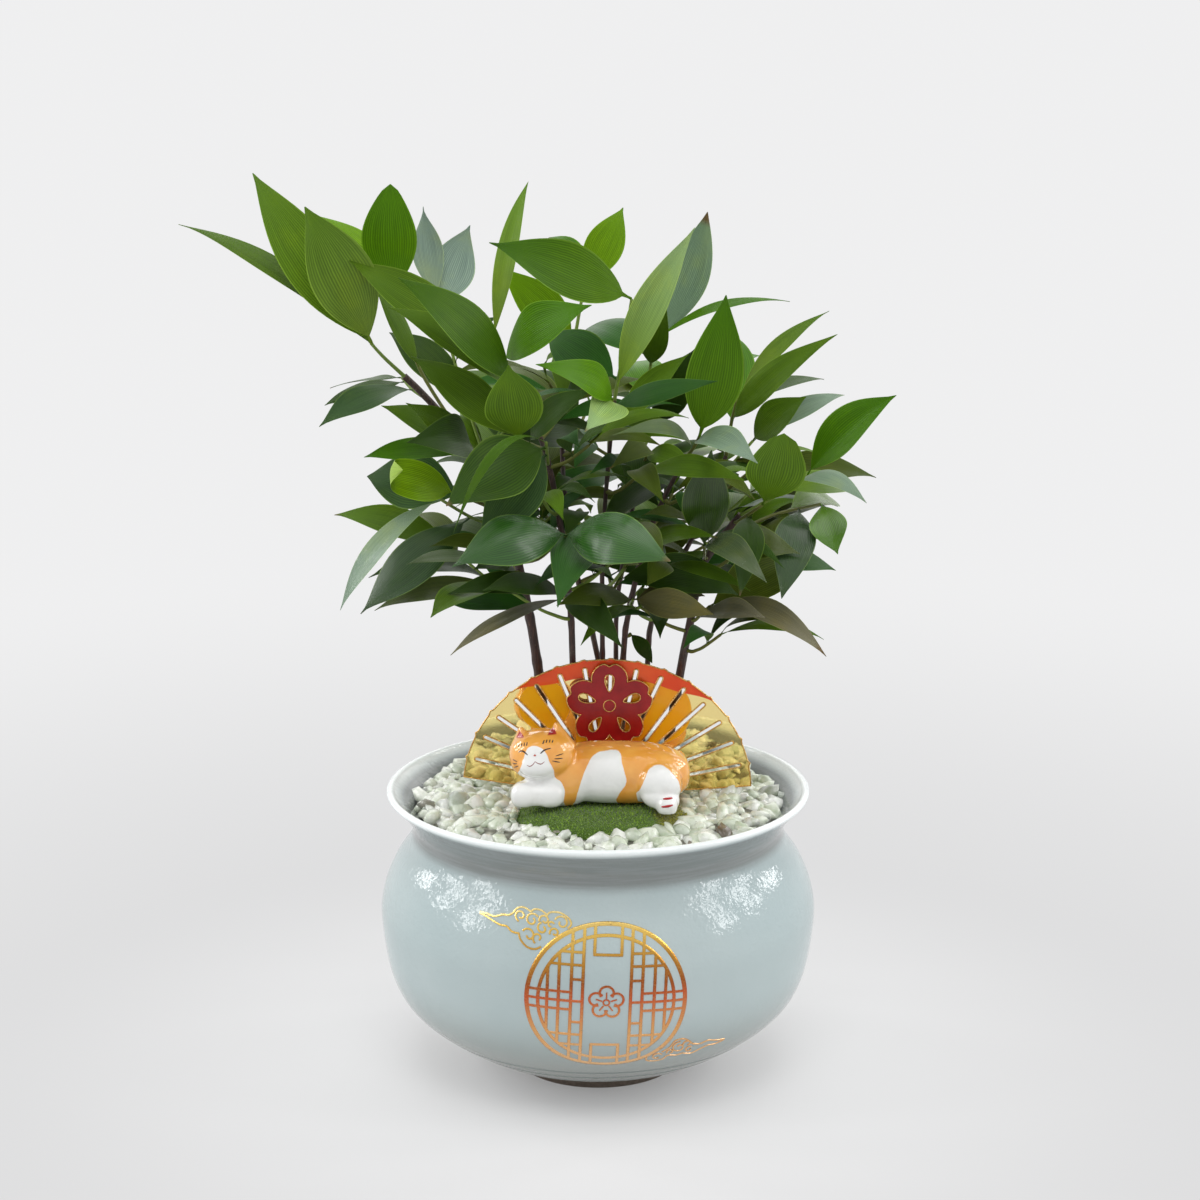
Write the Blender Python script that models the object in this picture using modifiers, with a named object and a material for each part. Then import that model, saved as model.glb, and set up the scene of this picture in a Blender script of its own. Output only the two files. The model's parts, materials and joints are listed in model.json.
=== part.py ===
"""Potted nagi tree: eight seedlings in a round glazed pot, dressed with stones, moss, a fan and a cat.

Metres, +Z up, the front of the pot towards -Y. The origin is the middle of the pot's foot, on the
surface it stands on.
"""
import math
import random

import bmesh
import bpy
from mathutils import Matrix, Vector
from mathutils.bvhtree import BVHTree

MM = 0.001
GAP = 0.3 * MM                 # clearance between pieces that touch

# The pot, turned about Z
SEGMENTS = 40
POT_HEIGHT = 128 * MM
BELLY_RADIUS = 95.8 * MM
NECK_RADIUS = 81.6 * MM
RIM_RADIUS = 93 * MM
FOOT_RADIUS = 37 * MM
WALL = 4.8 * MM
LIP_RADIUS = 1.9 * MM
FLOOR_Z = 8 * MM

# What fills the pot, from the floor up
DRAINAGE_TOP = 30 * MM
SOIL_TOP = 100 * MM
STONE_EDGE_Z = 120 * MM
STONE_TOP = 123 * MM
FILL_CLEARANCE = 1 * MM
ROOT_Z = 85 * MM               # how deep the stems reach

# The moss mound and the cat that lies on it
MOSS_CENTRE = Vector((2, -34, 123.3)) * MM
MOSS_SIZE = Vector((38, 26, 8.5)) * MM
CAT_FLOOR = 131 * MM

# The fan, an upright plate that faces -Y
FAN_CENTRE = Vector((4, -5, 127)) * MM
FAN_RADIUS = 60.8 * MM
FAN_THICKNESS = 1.5 * MM
FAN_START = 2                  # degrees, from +X
FAN_END = 174
SLOT_COUNT = 15
FIRST_SLOT = 12                # degrees
SLOT_STEP = 10.93
SLOT_WIDTH = 1.9 * MM
SLOT_INNER = 27 * MM
SLOT_OUTER = 57.8 * MM
BLOSSOM_CENTRE = Vector((5, -7.1, 166)) * MM
BLOSSOM_RADIUS = 19 * MM
BLOSSOM_THICKNESS = 2 * MM

# The foliage
TWIG_RADIUS = 0.9 * MM
BLADE_THICKNESS = 0.9 * MM
ROOM = 1 * MM                  # how much wider and thicker a leaf is when its place is tried
PETIOLE = 0.06                 # share of a leaf's length before the blade opens
LEAF_STATIONS = (0, 0.05, 0.19, 0.39, 0.61, 0.82, 1)
BLADE_START = 0.2              # leaves of one shoot may meet before this share of their length
SEED = 11

# Each stem: radius in mm and the route of its middle in mm, from the root to where it ends.
STEMS = {
    1: (2.1, [(-21, 9, 85), (-21, 9, 127), (-26, 10, 176), (-32, 8, 214), (-40, 5, 246), (-54, -5, 278),
              (-71, -14, 301), (-81, -18, 312)]),
    2: (1.5, [(-10, 1, 85), (-10, 1, 127), (-11, 0, 184), (-12, -3, 210), (-15, -10, 240),
              (-22, -20, 281), (-33, -24, 306)]),
    3: (1.3, [(2, 17, 85), (2, 17, 127), (0, 16, 181), (-6, 18, 204), (-13, 26, 237), (-16, 34, 280),
              (-11, 36, 315)]),
    4: (1.2, [(3, 5, 85), (3, 5, 127), (2, 5, 184), (2, 4, 205), (2, 0, 238), (5, -8, 279), (7, -12, 301)]),
    5: (1.2, [(9, 29, 85), (9, 29, 127), (8, 28, 179), (9, 30, 208), (16, 34, 249), (21, 34, 293)]),
    6: (1.4, [(11, 12, 85), (11, 12, 127), (11, 10, 182), (14, 5, 208), (22, -8, 244), (36, -18, 276)]),
    7: (1.3, [(19, 23, 85), (19, 23, 127), (22, 22, 177), (25, 24, 202), (41, 26, 232), (56, 26, 270)]),
    8: (2.1, [(29, 9, 85), (29, 9, 127), (36, 8, 176), (40, 5, 199), (46, -2, 229), (61, -10, 251)]),
}

# Each shoot: its stem, the route of its twig in mm, and its leaves. A leaf is how far along the twig
# it grows, where its tip is, its width, how far its upper face turns from the sky (0) towards the
# front (90), and how high it arches.
SHOOTS = {
    "shoot_1_crown": (1, [(-81, -18, 312), (-89, -20, 320), (-94, -22, 326)], [
        (0.7, (-177, 10, 374), 16, 25, 8), (0.9, (-144, -2, 396), 24, 70, 5),
        (1.0, (-119, -36, 384), 27, 84, 5)]),
    "shoot_1_upper": (1, [(-54, -5, 278), (-76, 3, 312), (-87, 6, 345)], [
        (1.0, (-122, 26, 376), 20, 40, 1), (0.95, (-87, 2, 390), 27, 88, 3),
        (0.5, (-93, -14, 350), 11, 50, 2)]),
    "shoot_1_back": (1, [(-40, 5, 246), (-58, 30, 295), (-70, 42, 336)], [
        (1.0, (-76, 50, 376), 14, -80, 3), (0.97, (-57, 56, 366), 20, -80, 3),
        (0.7, (-44, 34, 330), 13, 40, 4), (0.5, (-92, 50, 322), 18, 45, 6)]),
    "shoot_1_left": (1, [(-71, -14, 301), (-79, -2, 304), (-84, 10, 307)], [
        (1.0, (-117, 30, 300), 12, 5, 1), (0.8, (-116, -6, 299), 13, 15, 2),
        (0.4, (-115, -38, 295), 16, 22, 6)]),
    "shoot_1_middle": (1, [(-52, -4, 274), (-53, -20, 282)], [
        (1.0, (-78, -50, 306), 17, 60, 4), (0.9, (-75, -70, 294), 19, 50, 6),
        (0.5, (-98, -24, 279), 19, 40, 3), (0.3, (-89, -38, 303), 14, 50, 4)]),
    "shoot_1_curled": (1, [(-42, 4, 250), (-60, -24, 263)], [
        (1.0, (-88, -62, 286), 24, 62, 6), (0.8, (-99, 0, 266), 26, 60, 2)]),
    "shoot_1_low": (1, [(-38, 6, 240), (-54, -10, 250), (-66, -30, 262)], [
        (1.0, (-107, -50, 219), 14, 35, 9), (0.45, (-101, -26, 212), 25, 62, 5)]),
    "shoot_1_base": (1, [(-32, 8, 214), (-38, 22, 224)], [
        (1.0, (-72, 62, 232), 16, 30, 6), (0.7, (-20, 66, 226), 15, 30, 8)]),
    "shoot_2_crown": (2, [(-33, -24, 306), (-39, -28, 320), (-43, -30, 328)], [
        (1.0, (-30, -10, 393), 12, 25, 10), (0.6, (-3, -64, 348), 21, 55, 7),
        (0.9, (-101, -36, 363), 20, 52, 2)]),
    "shoot_2_left": (2, [(-28, -22, 298), (-34, -46, 312)], [
        (1.0, (-78, -72, 360), 21, 55, 6), (0.5, (-83, -54, 347), 15, 50, 6)]),
    "shoot_2_front": (2, [(-22, -20, 281), (-32, -46, 290)], [
        (1.0, (-36, -60, 323), 24, 84, 4), (0.8, (-78, -76, 314), 23, 66, 5),
        (0.6, (-2, -78, 314), 13, 55, 5)]),
    "shoot_2_arching": (2, [(-21, -18, 274), (-21, -58, 291)], [
        (1.0, (-57, -100, 263), 12, -50, 15), (0.8, (-60, -86, 272), 26, 72, 4),
        (0.5, (-48, -66, 252), 22, 70, 4)]),
    "shoot_2_pair": (2, [(-15, -10, 240), (-13, -56, 252)], [
        (1.0, (-58, -92, 247), 26, 52, 7), (1.0, (28, -96, 251), 27, 52, 7)]),
    "shoot_2_base": (2, [(-12, -3, 208), (-15, -24, 220)], [
        (1.0, (-62, -54, 228), 15, 30, 6), (0.8, (-46, -86, 236), 14, 35, 6),
        (0.9, (9, -72, 210), 14, 45, 6), (0.6, (-61, -60, 204), 12, 5, 5)]),
    "shoot_3_crown": (3, [(-11, 36, 315), (-8, 38, 332), (-6, 38, 342)], [
        (1.0, (11, 50, 376), 17, 78, 3), (0.1, (-42, 22, 353), 18, 80, 4),
        (0.8, (-22, 80, 360), 18, 40, 6)]),
    "shoot_3_left": (3, [(-13, 26, 237), (-26, 2, 229), (-42, -20, 232)], [
        (1.0, (-79, -46, 239), 13, 12, 3), (0.9, (-49, -70, 234), 14, 35, 4)]),
    "shoot_4_crown": (4, [(7, -12, 301), (11, -20, 325), (14, -22, 345)], [
        (1.0, (-43, -50, 373), 27, 66, 6), (0.1, (39, -40, 376), 22, 75, 6),
        (0.2, (-22, 10, 327), 21, 62, 4)]),
    "shoot_4_front": (4, [(6, -10, 290), (6, -38, 305)], [
        (1.0, (-22, -76, 328), 19, 58, 7), (0.9, (-8, -94, 300), 20, 55, 6),
        (0.7, (46, -66, 314), 18, 55, 6)]),
    "shoot_5_crown": (5, [(21, 34, 293), (23, 29, 310), (24, 27, 320)], [
        (0.9, (47, 28, 376), 23, -80, 4), (1.0, (83, 40, 338), 12, 20, 5),
        (0.6, (29, -2, 343), 12, 70, 5), (0.7, (-6, 76, 320), 20, 30, 7)]),
    "shoot_5_back": (5, [(18, 34, 268), (30, 60, 286)], [
        (1.0, (74, 88, 306), 21, 25, 7), (0.9, (16, 108, 300), 20, 20, 8),
        (0.6, (42, 20, 318), 18, 70, 4)]),
    "shoot_6_crown": (6, [(36, -18, 276), (40, -30, 284), (42, -38, 290)], [
        (1.0, (52, -46, 349), 27, 86, 3), (0.7, (63, -90, 289), 15, 30, 8),
        (0.5, (8, -84, 300), 17, 45, 8)]),
    "shoot_6_low": (6, [(14, 5, 208), (15, -22, 217)], [
        (1.0, (46, -68, 222), 13, 62, 0), (0.8, (46, -12, 217), 13, 30, 3),
        (0.6, (-16, -52, 226), 14, 32, 6)]),
    "shoot_7_crown": (7, [(56, 26, 270), (58, 18, 287), (60, 13, 297)], [
        (1.0, (99, 18, 335), 13, 42, 5), (0.6, (92, -22, 329), 17, 60, 7),
        (0.9, (100, 46, 302), 10, 18, 3), (0.5, (58, 78, 318), 21, 30, 6)]),
    "shoot_7_right": (7, [(50, 26, 256), (68, 30, 276)], [
        (1.0, (89, 8, 299), 16, 60, 4), (0.9, (110, 56, 293), 17, 35, 6)]),
    "shoot_8_crown": (8, [(61, -10, 251), (77, -18, 262), (88, -24, 271)], [
        (1.0, (122, -42, 308), 20, 52, 5), (0.8, (109, -60, 268), 10, 25, 7),
        (0.6, (110, 10, 258), 14, 35, 5)]),
    "shoot_8_front": (8, [(56, -7, 245), (69, -28, 259)], [
        (1.0, (76, -52, 293), 25, 88, 3), (0.4, (58, -70, 231), 14, 60, 6)]),
    "shoot_8_hanging": (8, [(53, -6, 240), (76, -4, 250), (95, -11, 256)], [
        (1.0, (100, -38, 241), 16, 75, 2), (0.6, (104, 36, 246), 18, 25, 8),
        (0.75, (77, -44, 224), 18, 66, 6)]),
    "shoot_8_middle": (8, [(46, -2, 229), (45, -26, 241)], [
        (1.0, (47, -40, 284), 20, 88, 3), (0.9, (68, -80, 238), 13, 35, 9),
        (0.6, (84, -30, 241), 18, 45, 6)]),
    "shoot_8_low": (8, [(40, 5, 199), (48, -10, 211)], [
        (1.0, (97, -30, 195), 18, 40, 17), (0.25, (69, -58, 218), 14, 30, 4),
        (0.8, (92, 16, 227), 22, 60, 5)]),
}

# Shoots that fill the shaded middle and the back: stem, place along it, heading in degrees (0 is +X,
# 90 is the back) and length in mm. Their leaves grow in opposite pairs.
FILLING = [
    (1, 0.50, 150, 34), (1, 0.62, 80, 40), (2, 0.52, 215, 30), (2, 0.66, 330, 26), (3, 0.62, 120, 38),
    (3, 0.80, 70, 34), (4, 0.60, 290, 26), (4, 0.75, 20, 26), (5, 0.55, 100, 40), (7, 0.60, 75, 38),
    (7, 0.80, 30, 28), (8, 0.75, 50, 32), (5, 0.85, 160, 34),
]
LEAF_LENGTH = (48, 64)
LEAF_WIDTH = (16, 22)


# ---------------------------------------------------------------- shared shapes

def new_collection(name):
    collection = bpy.data.collections.new(name)
    bpy.context.scene.collection.children.link(collection)
    return collection


def new_material(name, colour, roughness, metallic=0.0):
    material = bpy.data.materials.new(name)
    material.use_nodes = True
    shader = material.node_tree.nodes["Principled BSDF"]
    shader.inputs["Base Color"].default_value = (*colour, 1)
    shader.inputs["Roughness"].default_value = roughness
    shader.inputs["Metallic"].default_value = metallic
    material.diffuse_color = (*colour, 1)
    return material


def add_object(name, data, material, collection):
    obj = bpy.data.objects.new(name, data)
    if material is not None:
        data.materials.append(material)
    collection.objects.link(obj)
    return obj


def mesh_from(bm, name):
    mesh = bpy.data.meshes.new(name)
    bm.to_mesh(mesh)
    bm.free()
    return mesh


def smooth_route(points, per_span):
    """Points along a Catmull-Rom curve through the given ones."""
    route = [Vector(p) for p in points]
    ends = [2 * route[0] - route[1]] + route + [2 * route[-1] - route[-2]]
    curve = []
    for i in range(1, len(ends) - 2):
        before, start, end, after = ends[i - 1:i + 3]
        for k in range(per_span):
            t = k / per_span
            curve.append(0.5 * (2 * start + (end - before) * t
                                + (2 * before - 5 * start + 4 * end - after) * t * t
                                + (3 * start - before - 3 * end + after) * t ** 3))
    return curve + [route[-1]]


def point_along(points, share):
    """The point at this share of a polyline's length."""
    spans = [(b - a).length for a, b in zip(points, points[1:])]
    left = share * sum(spans)
    for a, b, span in zip(points, points[1:], spans):
        if left <= span:
            return a.lerp(b, left / span)
        left -= span
    return points[-1].copy()


def turned(name, profile, material, collection):
    """A solid of revolution: the profile (radius, height) runs from the top down its outer side."""
    bm = bmesh.new()
    verts = [bm.verts.new((r, 0, z)) for r, z in profile]
    for a, b in zip(verts, verts[1:]):
        bm.edges.new((a, b))
    obj = add_object(name, mesh_from(bm, name), material, collection)
    screw = obj.modifiers.new("turn", "SCREW")
    screw.axis = "Z"
    screw.steps = screw.render_steps = SEGMENTS
    screw.use_merge_vertices = True
    screw.merge_threshold = 0.00001
    screw.use_smooth_shade = True
    return obj


def hide_tool(obj):
    obj.hide_render = True
    obj.display_type = "WIRE"


def ball(name, centre, size, cutters, rings=6, turn=0.0):
    """A sphere stretched to the half sizes, turned about Z by degrees, at the centre."""
    bm = bmesh.new()
    bmesh.ops.create_uvsphere(bm, u_segments=2 * rings, v_segments=rings, radius=1)
    obj = add_object(name, mesh_from(bm, name), None, cutters)
    obj.data.transform(matrix_of(centre, size, turn))
    hide_tool(obj)
    return obj


def matrix_of(centre, size, turn=0.0):
    return (Matrix.Translation(centre) @ Matrix.Rotation(math.radians(turn), 4, "Z")
            @ Matrix.Diagonal((*size, 1)))


def boolean(obj, tool, operation):
    modifier = obj.modifiers.new(tool.name, "BOOLEAN")
    modifier.operation = operation
    modifier.solver = "EXACT"
    modifier.object = tool
    return modifier


def box(name, centre, size, material, collection):
    """A block with these full sizes."""
    bm = bmesh.new()
    bmesh.ops.create_cube(bm, size=1)
    obj = add_object(name, mesh_from(bm, name), material, collection)
    obj.data.transform(matrix_of(centre, size))
    return obj


def tube(name, points, radii, material, collection):
    """A round rod along the points, made a closed mesh."""
    curve = bpy.data.curves.new(name, "CURVE")
    curve.dimensions = "3D"
    curve.bevel_depth = 1
    curve.bevel_resolution = 1
    curve.use_fill_caps = True
    spline = curve.splines.new("POLY")
    spline.points.add(len(points) - 1)
    for point, place, radius in zip(spline.points, points, radii):
        point.co = (*place, 1)
        point.radius = radius
    guide = bpy.data.objects.new(name + "_route", curve)
    collection.objects.link(guide)
    depsgraph = bpy.context.evaluated_depsgraph_get()
    mesh = bpy.data.meshes.new_from_object(guide.evaluated_get(depsgraph))
    bm = bmesh.new()
    bm.from_mesh(mesh)
    bmesh.ops.remove_doubles(bm, verts=bm.verts, dist=0.001 * MM)
    bm.to_mesh(mesh)
    bm.free()
    mesh.transform(guide.matrix_world)
    bpy.data.objects.remove(guide)
    mesh.materials.clear()
    obj = add_object(name, mesh, material, collection)
    mesh.shade_smooth()
    mesh.set_sharp_from_angle(angle=math.radians(50))
    return obj


def flat_plate(name, outlines, centre, thickness, material, collection):
    """An upright plate facing -Y, cut from closed outlines in its own plane; inner ones are holes."""
    curve = bpy.data.curves.new(name, "CURVE")
    curve.dimensions = "2D"
    curve.fill_mode = "BOTH"
    curve.extrude = thickness / 2
    for outline in outlines:
        spline = curve.splines.new("POLY")
        spline.points.add(len(outline) - 1)
        for point, (x, y) in zip(spline.points, outline):
            point.co = (x, y, 0, 1)
        spline.use_cyclic_u = True
    obj = add_object(name, curve, material, collection)
    obj.location = centre
    obj.rotation_euler = (math.radians(90), 0, 0)
    return obj


# ---------------------------------------------------------------- the pot and its fill

def outer_wall():
    """The pot's outside, from just under the lip down to the foot."""
    places = [(RIM_RADIUS - 0.4 * MM, POT_HEIGHT - 1.9 * MM), (85.3 * MM, 118.5 * MM),
              (NECK_RADIUS, 111 * MM), (83.4 * MM, 104 * MM), (89.5 * MM, 95 * MM),
              (94.4 * MM, 83 * MM), (BELLY_RADIUS, 69 * MM), (91.5 * MM, 44 * MM),
              (80.9 * MM, 28 * MM), (58 * MM, 12.5 * MM), (FOOT_RADIUS + 3 * MM, 7 * MM)]
    return [(p.x, p.z) for p in smooth_route([(r, 0, z) for r, z in places], 2)]


def inner_wall():
    """The pot's inside, from the floor up to the lip."""
    places = [(50 * MM, FLOOR_Z + 1.5 * MM), (75.5 * MM, 30 * MM), (86.5 * MM, 47 * MM),
              (BELLY_RADIUS - WALL, 69 * MM), (89.4 * MM, 83 * MM), (83.5 * MM, 95.5 * MM),
              (78.3 * MM, 104.5 * MM), (NECK_RADIUS - WALL, 111.5 * MM), (80.8 * MM, 120 * MM),
              (RIM_RADIUS - 4 * MM, POT_HEIGHT - 1.4 * MM)]
    return [(p.x, p.z) for p in smooth_route([(r, 0, z) for r, z in places], 1)]


def inner_radius(height):
    """The radius of the pot's inside at a height."""
    wall = inner_wall()
    for (r1, z1), (r2, z2) in zip(wall, wall[1:]):
        if z1 <= height <= z2:
            return r1 + (r2 - r1) * (height - z1) / (z2 - z1)
    return wall[0][0] if height < wall[0][1] else wall[-1][0]


def make_pot(parts, glaze):
    lip = [(RIM_RADIUS - LIP_RADIUS + LIP_RADIUS * math.cos(math.radians(a)),
            POT_HEIGHT - LIP_RADIUS + LIP_RADIUS * math.sin(math.radians(a))) for a in (140, 90, 40)]
    foot = [(FOOT_RADIUS + 1 * MM, 5.5 * MM), (FOOT_RADIUS, 1 * MM), (FOOT_RADIUS - 1 * MM, 0)]
    profile = [(0, FLOOR_Z)] + inner_wall() + lip + outer_wall() + foot + [(0, 0)]
    return turned("pot", profile, glaze, parts)


def fill_profile(bottom, top, heights):
    """A layer that lies in the pot a little clear of its wall, from its top down."""
    side = [(inner_radius(z) - FILL_CLEARANCE, z) for z in heights]
    return [(0, top)] + side + [(0, bottom)]


def make_fill(parts, materials, sockets):
    drainage = fill_profile(FLOOR_Z + GAP + 1.5 * MM, DRAINAGE_TOP - GAP,
                            [DRAINAGE_TOP - GAP, 20 * MM, FLOOR_Z + 3.5 * MM])
    turned("drainage_layer", drainage, materials["clay"], parts)
    soil = fill_profile(DRAINAGE_TOP, SOIL_TOP, [SOIL_TOP, 92 * MM, 80 * MM, 66 * MM, 50 * MM, 40 * MM,
                                                 DRAINAGE_TOP])
    soil_obj = turned("potting_soil", soil, materials["soil"], parts)
    neck = [STONE_EDGE_Z, 111.5 * MM, 106 * MM, SOIL_TOP + GAP]
    stones = fill_profile(SOIL_TOP + GAP, STONE_TOP, neck)
    stones.insert(1, (70 * MM, STONE_TOP))
    stones_obj = turned("white_stones", stones, materials["stone"], parts)
    for socket in sockets:
        boolean(soil_obj, socket, "DIFFERENCE")
        boolean(stones_obj, socket, "DIFFERENCE")


# ---------------------------------------------------------------- the moss and the cat

def make_moss(parts, moss):
    """An oval dome, flat below and flat where the cat lies."""
    bm = bmesh.new()
    bmesh.ops.create_uvsphere(bm, u_segments=28, v_segments=16, radius=1)
    bm.transform(matrix_of(MOSS_CENTRE, MOSS_SIZE))
    for height, keep in ((MOSS_CENTRE.z, 1), (CAT_FLOOR - GAP, -1)):
        geometry = bm.verts[:] + bm.edges[:] + bm.faces[:]
        cut = bmesh.ops.bisect_plane(bm, geom=geometry, plane_co=(0, 0, height),
                                     plane_no=(0, 0, -keep), clear_outer=True)
        rim = [e for e in cut["geom_cut"] if isinstance(e, bmesh.types.BMEdge)]
        bmesh.ops.edgeloop_fill(bm, edges=rim)
    bmesh.ops.recalc_face_normals(bm, faces=bm.faces)
    obj = add_object("moss_mound", mesh_from(bm, "moss_mound"), moss, parts)
    obj.data.shade_smooth()
    obj.data.set_sharp_from_angle(angle=math.radians(40))


# Each form of the cat, in mm: its middle, its half sizes and its turn about Z.
CAT_FORMS = {
    "rump": ((24, -31, 143), (15.5, 14, 13.5), 0),
    "chest": ((-19, -37, 140), (13, 9, 9.5), 0),
    "head": ((-22, -38, 150.2), (15.3, 12, 11.6), 0),
    "paw_left": ((-27, -45, 135.6), (11, 6, 5.2), 6),
    "paw_right": ((-15, -44, 135.4), (9, 6, 5), -8),
    "thigh": ((27, -40, 140), (11, 7, 9.5), 0),
    "foot": ((25, -45, 135), (12, 5, 4.2), -4),
    "tail": ((20, -19, 136), (20, 4.5, 4.5), 8),
}
CAT_BODY = ((7, -31, 143.2), (29, 13.5, 12.6))
EARS = ((-31.5, -36, 158), (-15.5, -35, 158.5))
EAR_RADIUS = 6.2 * MM
EAR_HEIGHT = 8.5 * MM


def make_cat(parts, cutters, glaze):
    centre, size = CAT_BODY
    cat = ball("cat_figurine", Vector(centre) * MM, Vector(size) * MM, parts, rings=8)
    cat.hide_render = False
    cat.display_type = "TEXTURED"
    cat.data.materials.append(glaze)
    for name, (centre, size, turn) in CAT_FORMS.items():
        boolean(cat, ball("cat_" + name, Vector(centre) * MM, Vector(size) * MM, cutters, turn=turn), "UNION")
    for side, place in zip(("left", "right"), EARS):
        bm = bmesh.new()
        bmesh.ops.create_cone(bm, cap_ends=True, segments=12, radius1=EAR_RADIUS, radius2=0.6 * MM,
                              depth=EAR_HEIGHT)
        bm.transform(Matrix.Translation(Vector(place) * MM) @ Matrix.Diagonal((1, 0.6, 1, 1)))
        ear = add_object("cat_ear_" + side, mesh_from(bm, "cat_ear_" + side), None, cutters)
        hide_tool(ear)
        boolean(cat, ear, "UNION")
    below = box("below_the_cat", Vector((0, -31, CAT_FLOOR / MM - 20)) * MM, Vector((120, 80, 40)) * MM,
                None, cutters)
    hide_tool(below)
    boolean(cat, below, "DIFFERENCE")
    cat.data.shade_smooth()


# ---------------------------------------------------------------- the fan

def polar(radius, degrees):
    return (radius * math.cos(math.radians(degrees)), radius * math.sin(math.radians(degrees)))


def fan_outlines():
    """The fan's edge, scalloped where each slot ends, and its slots."""
    slots = [FIRST_SLOT + SLOT_STEP * k for k in range(SLOT_COUNT)]
    edge = [polar(FAN_RADIUS, FAN_START)]
    for angle in slots:
        edge += [polar(FAN_RADIUS, angle - 5), polar(FAN_RADIUS, angle - 1.8),
                 polar(FAN_RADIUS + 0.8 * MM, angle), polar(FAN_RADIUS, angle + 1.8)]
    edge += [polar(FAN_RADIUS, FAN_END - 3), polar(FAN_RADIUS, FAN_END)]
    edge += [(-40 * MM, 3 * MM), (-12 * MM, 0), (14 * MM, -0.5 * MM), (38 * MM, 0.5 * MM)]
    holes = []
    for angle in slots:
        along = Vector(polar(1, angle))
        across = Vector((-along.y, along.x)) * SLOT_WIDTH / 2
        holes.append([along * r + across * side for r, side in
                      ((SLOT_INNER, -1), (SLOT_OUTER, -1), (SLOT_OUTER, 1), (SLOT_INNER, 1))])
    return [edge] + holes


def blossom_outlines():
    """Five round petals about a round eye."""
    petals = [polar(BLOSSOM_RADIUS * (0.74 + 0.26 * abs(math.sin(math.radians(2.5 * a)))), a + 18)
              for a in range(0, 360, 8)]
    eye = [polar(BLOSSOM_RADIUS * 0.16, a) for a in range(0, 360, 36)]
    return [petals, eye]


def make_fan(parts, materials):
    flat_plate("fan_plate", fan_outlines(), FAN_CENTRE, FAN_THICKNESS, materials["amber"], parts)
    flat_plate("fan_blossom", blossom_outlines(), BLOSSOM_CENTRE, BLOSSOM_THICKNESS, materials["red"], parts)


def make_fan_stake(parts, cutters, acrylic):
    """A clear strip behind the fan that stands in the stones; returns its socket."""
    size = Vector((14, 2, 58)) * MM
    back = FAN_CENTRE.y + FAN_THICKNESS / 2 + GAP + size.y / 2
    centre = Vector((FAN_CENTRE.x, back, 102 * MM + size.z / 2))
    box("fan_stake", centre, size, acrylic, parts)
    socket = box("fan_socket", centre, size + Vector((1, 1, 1)) * 2 * GAP, None, cutters)
    hide_tool(socket)
    return socket


# ---------------------------------------------------------------- stems and foliage

def stem_radius(radius, share):
    """A stem tapers to three fifths of its width."""
    return radius * (1 - 0.4 * share)


def stem_route(number):
    return smooth_route([Vector(p) * MM for p in STEMS[number][1]], 2)


def make_stems(parts, cutters, bark):
    """The stems, and the sockets they need in the soil and the stones."""
    sockets = []
    for number, (radius, places) in STEMS.items():
        route = stem_route(number)
        radii = [stem_radius(radius, i / (len(route) - 1)) * MM for i in range(len(route))]
        tube(f"stem_{number}", route, radii, bark, parts)
        bm = bmesh.new()
        depth = STONE_TOP + 4 * MM - ROOT_Z
        bmesh.ops.create_cone(bm, cap_ends=True, segments=12, radius1=radius * MM + 2 * GAP,
                              radius2=radius * MM + 2 * GAP, depth=depth)
        bm.transform(Matrix.Translation((places[0][0] * MM, places[0][1] * MM, ROOT_Z - GAP + depth / 2)))
        socket = add_object(f"stem_socket_{number}", mesh_from(bm, "socket"), None, cutters)
        hide_tool(socket)
        sockets.append(socket)
    return sockets


def blade_width(share):
    """A leaf's half width, as a share of its greatest: a thin stalk, then widest at two fifths."""
    if share < PETIOLE:
        return 0.07
    return max(0.07, math.sin(math.pi * ((share - PETIOLE) / (1 - PETIOLE)) ** 0.8))


def leaf_axes(base, tip, turn):
    """The leaf's long way, and the way its upper face looks."""
    along = (tip - base).normalized()
    up = (Vector((0, 0, 1)) - along * along.z).normalized()
    front = (Vector((0, -1, 0)) + along * along.y).normalized()
    angle = math.radians(turn)
    return along, (up * math.cos(angle) + front * math.sin(angle)).normalized()


def leaf_solid(base, tip, width, turn, arch, thickness, start=0.0):
    """A thin arched lens from base to tip, or the stretch of it from start on."""
    along, face = leaf_axes(base, tip, turn)
    across = along.cross(face)
    rings = len(LEAF_STATIONS) - 1
    bm = bmesh.new()
    bmesh.ops.create_uvsphere(bm, u_segments=4, v_segments=rings, radius=1)
    for vert in bm.verts:
        ring = round(rings * math.acos(max(-1.0, min(1.0, vert.co.z))) / math.pi)
        share = start + (1 - start) * LEAF_STATIONS[ring]
        middle = base + (tip - base) * share + face * arch * 4 * share * (1 - share)
        if ring in (0, rings):
            vert.co = middle - along * (TWIG_RADIUS * 0.7 if share == 0 else 0)
            continue
        around = math.hypot(vert.co.x, vert.co.y)
        half = blade_width(share) * width / 2 * vert.co.x / around
        vert.co = middle + across * half + face * thickness / 2 * vert.co.y / around
    bmesh.ops.recalc_face_normals(bm, faces=bm.faces)
    return bm


def prism(points, radius):
    """A six-sided rod along the points, to test what comes near it."""
    bm = bmesh.new()
    rings = []
    for i, place in enumerate(points):
        way = (points[min(i + 1, len(points) - 1)] - points[max(i - 1, 0)]).normalized()
        side = way.cross(Vector((0, 1, 0.3))).normalized()
        other = way.cross(side)
        rings.append([bm.verts.new(place + (side * math.cos(a) + other * math.sin(a)) * radius)
                      for a in [math.radians(60 * k) for k in range(6)]])
    for low, high in zip(rings, rings[1:]):
        for k in range(6):
            bm.faces.new((low[k], low[(k + 1) % 6], high[(k + 1) % 6], high[k]))
    return bm


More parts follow.
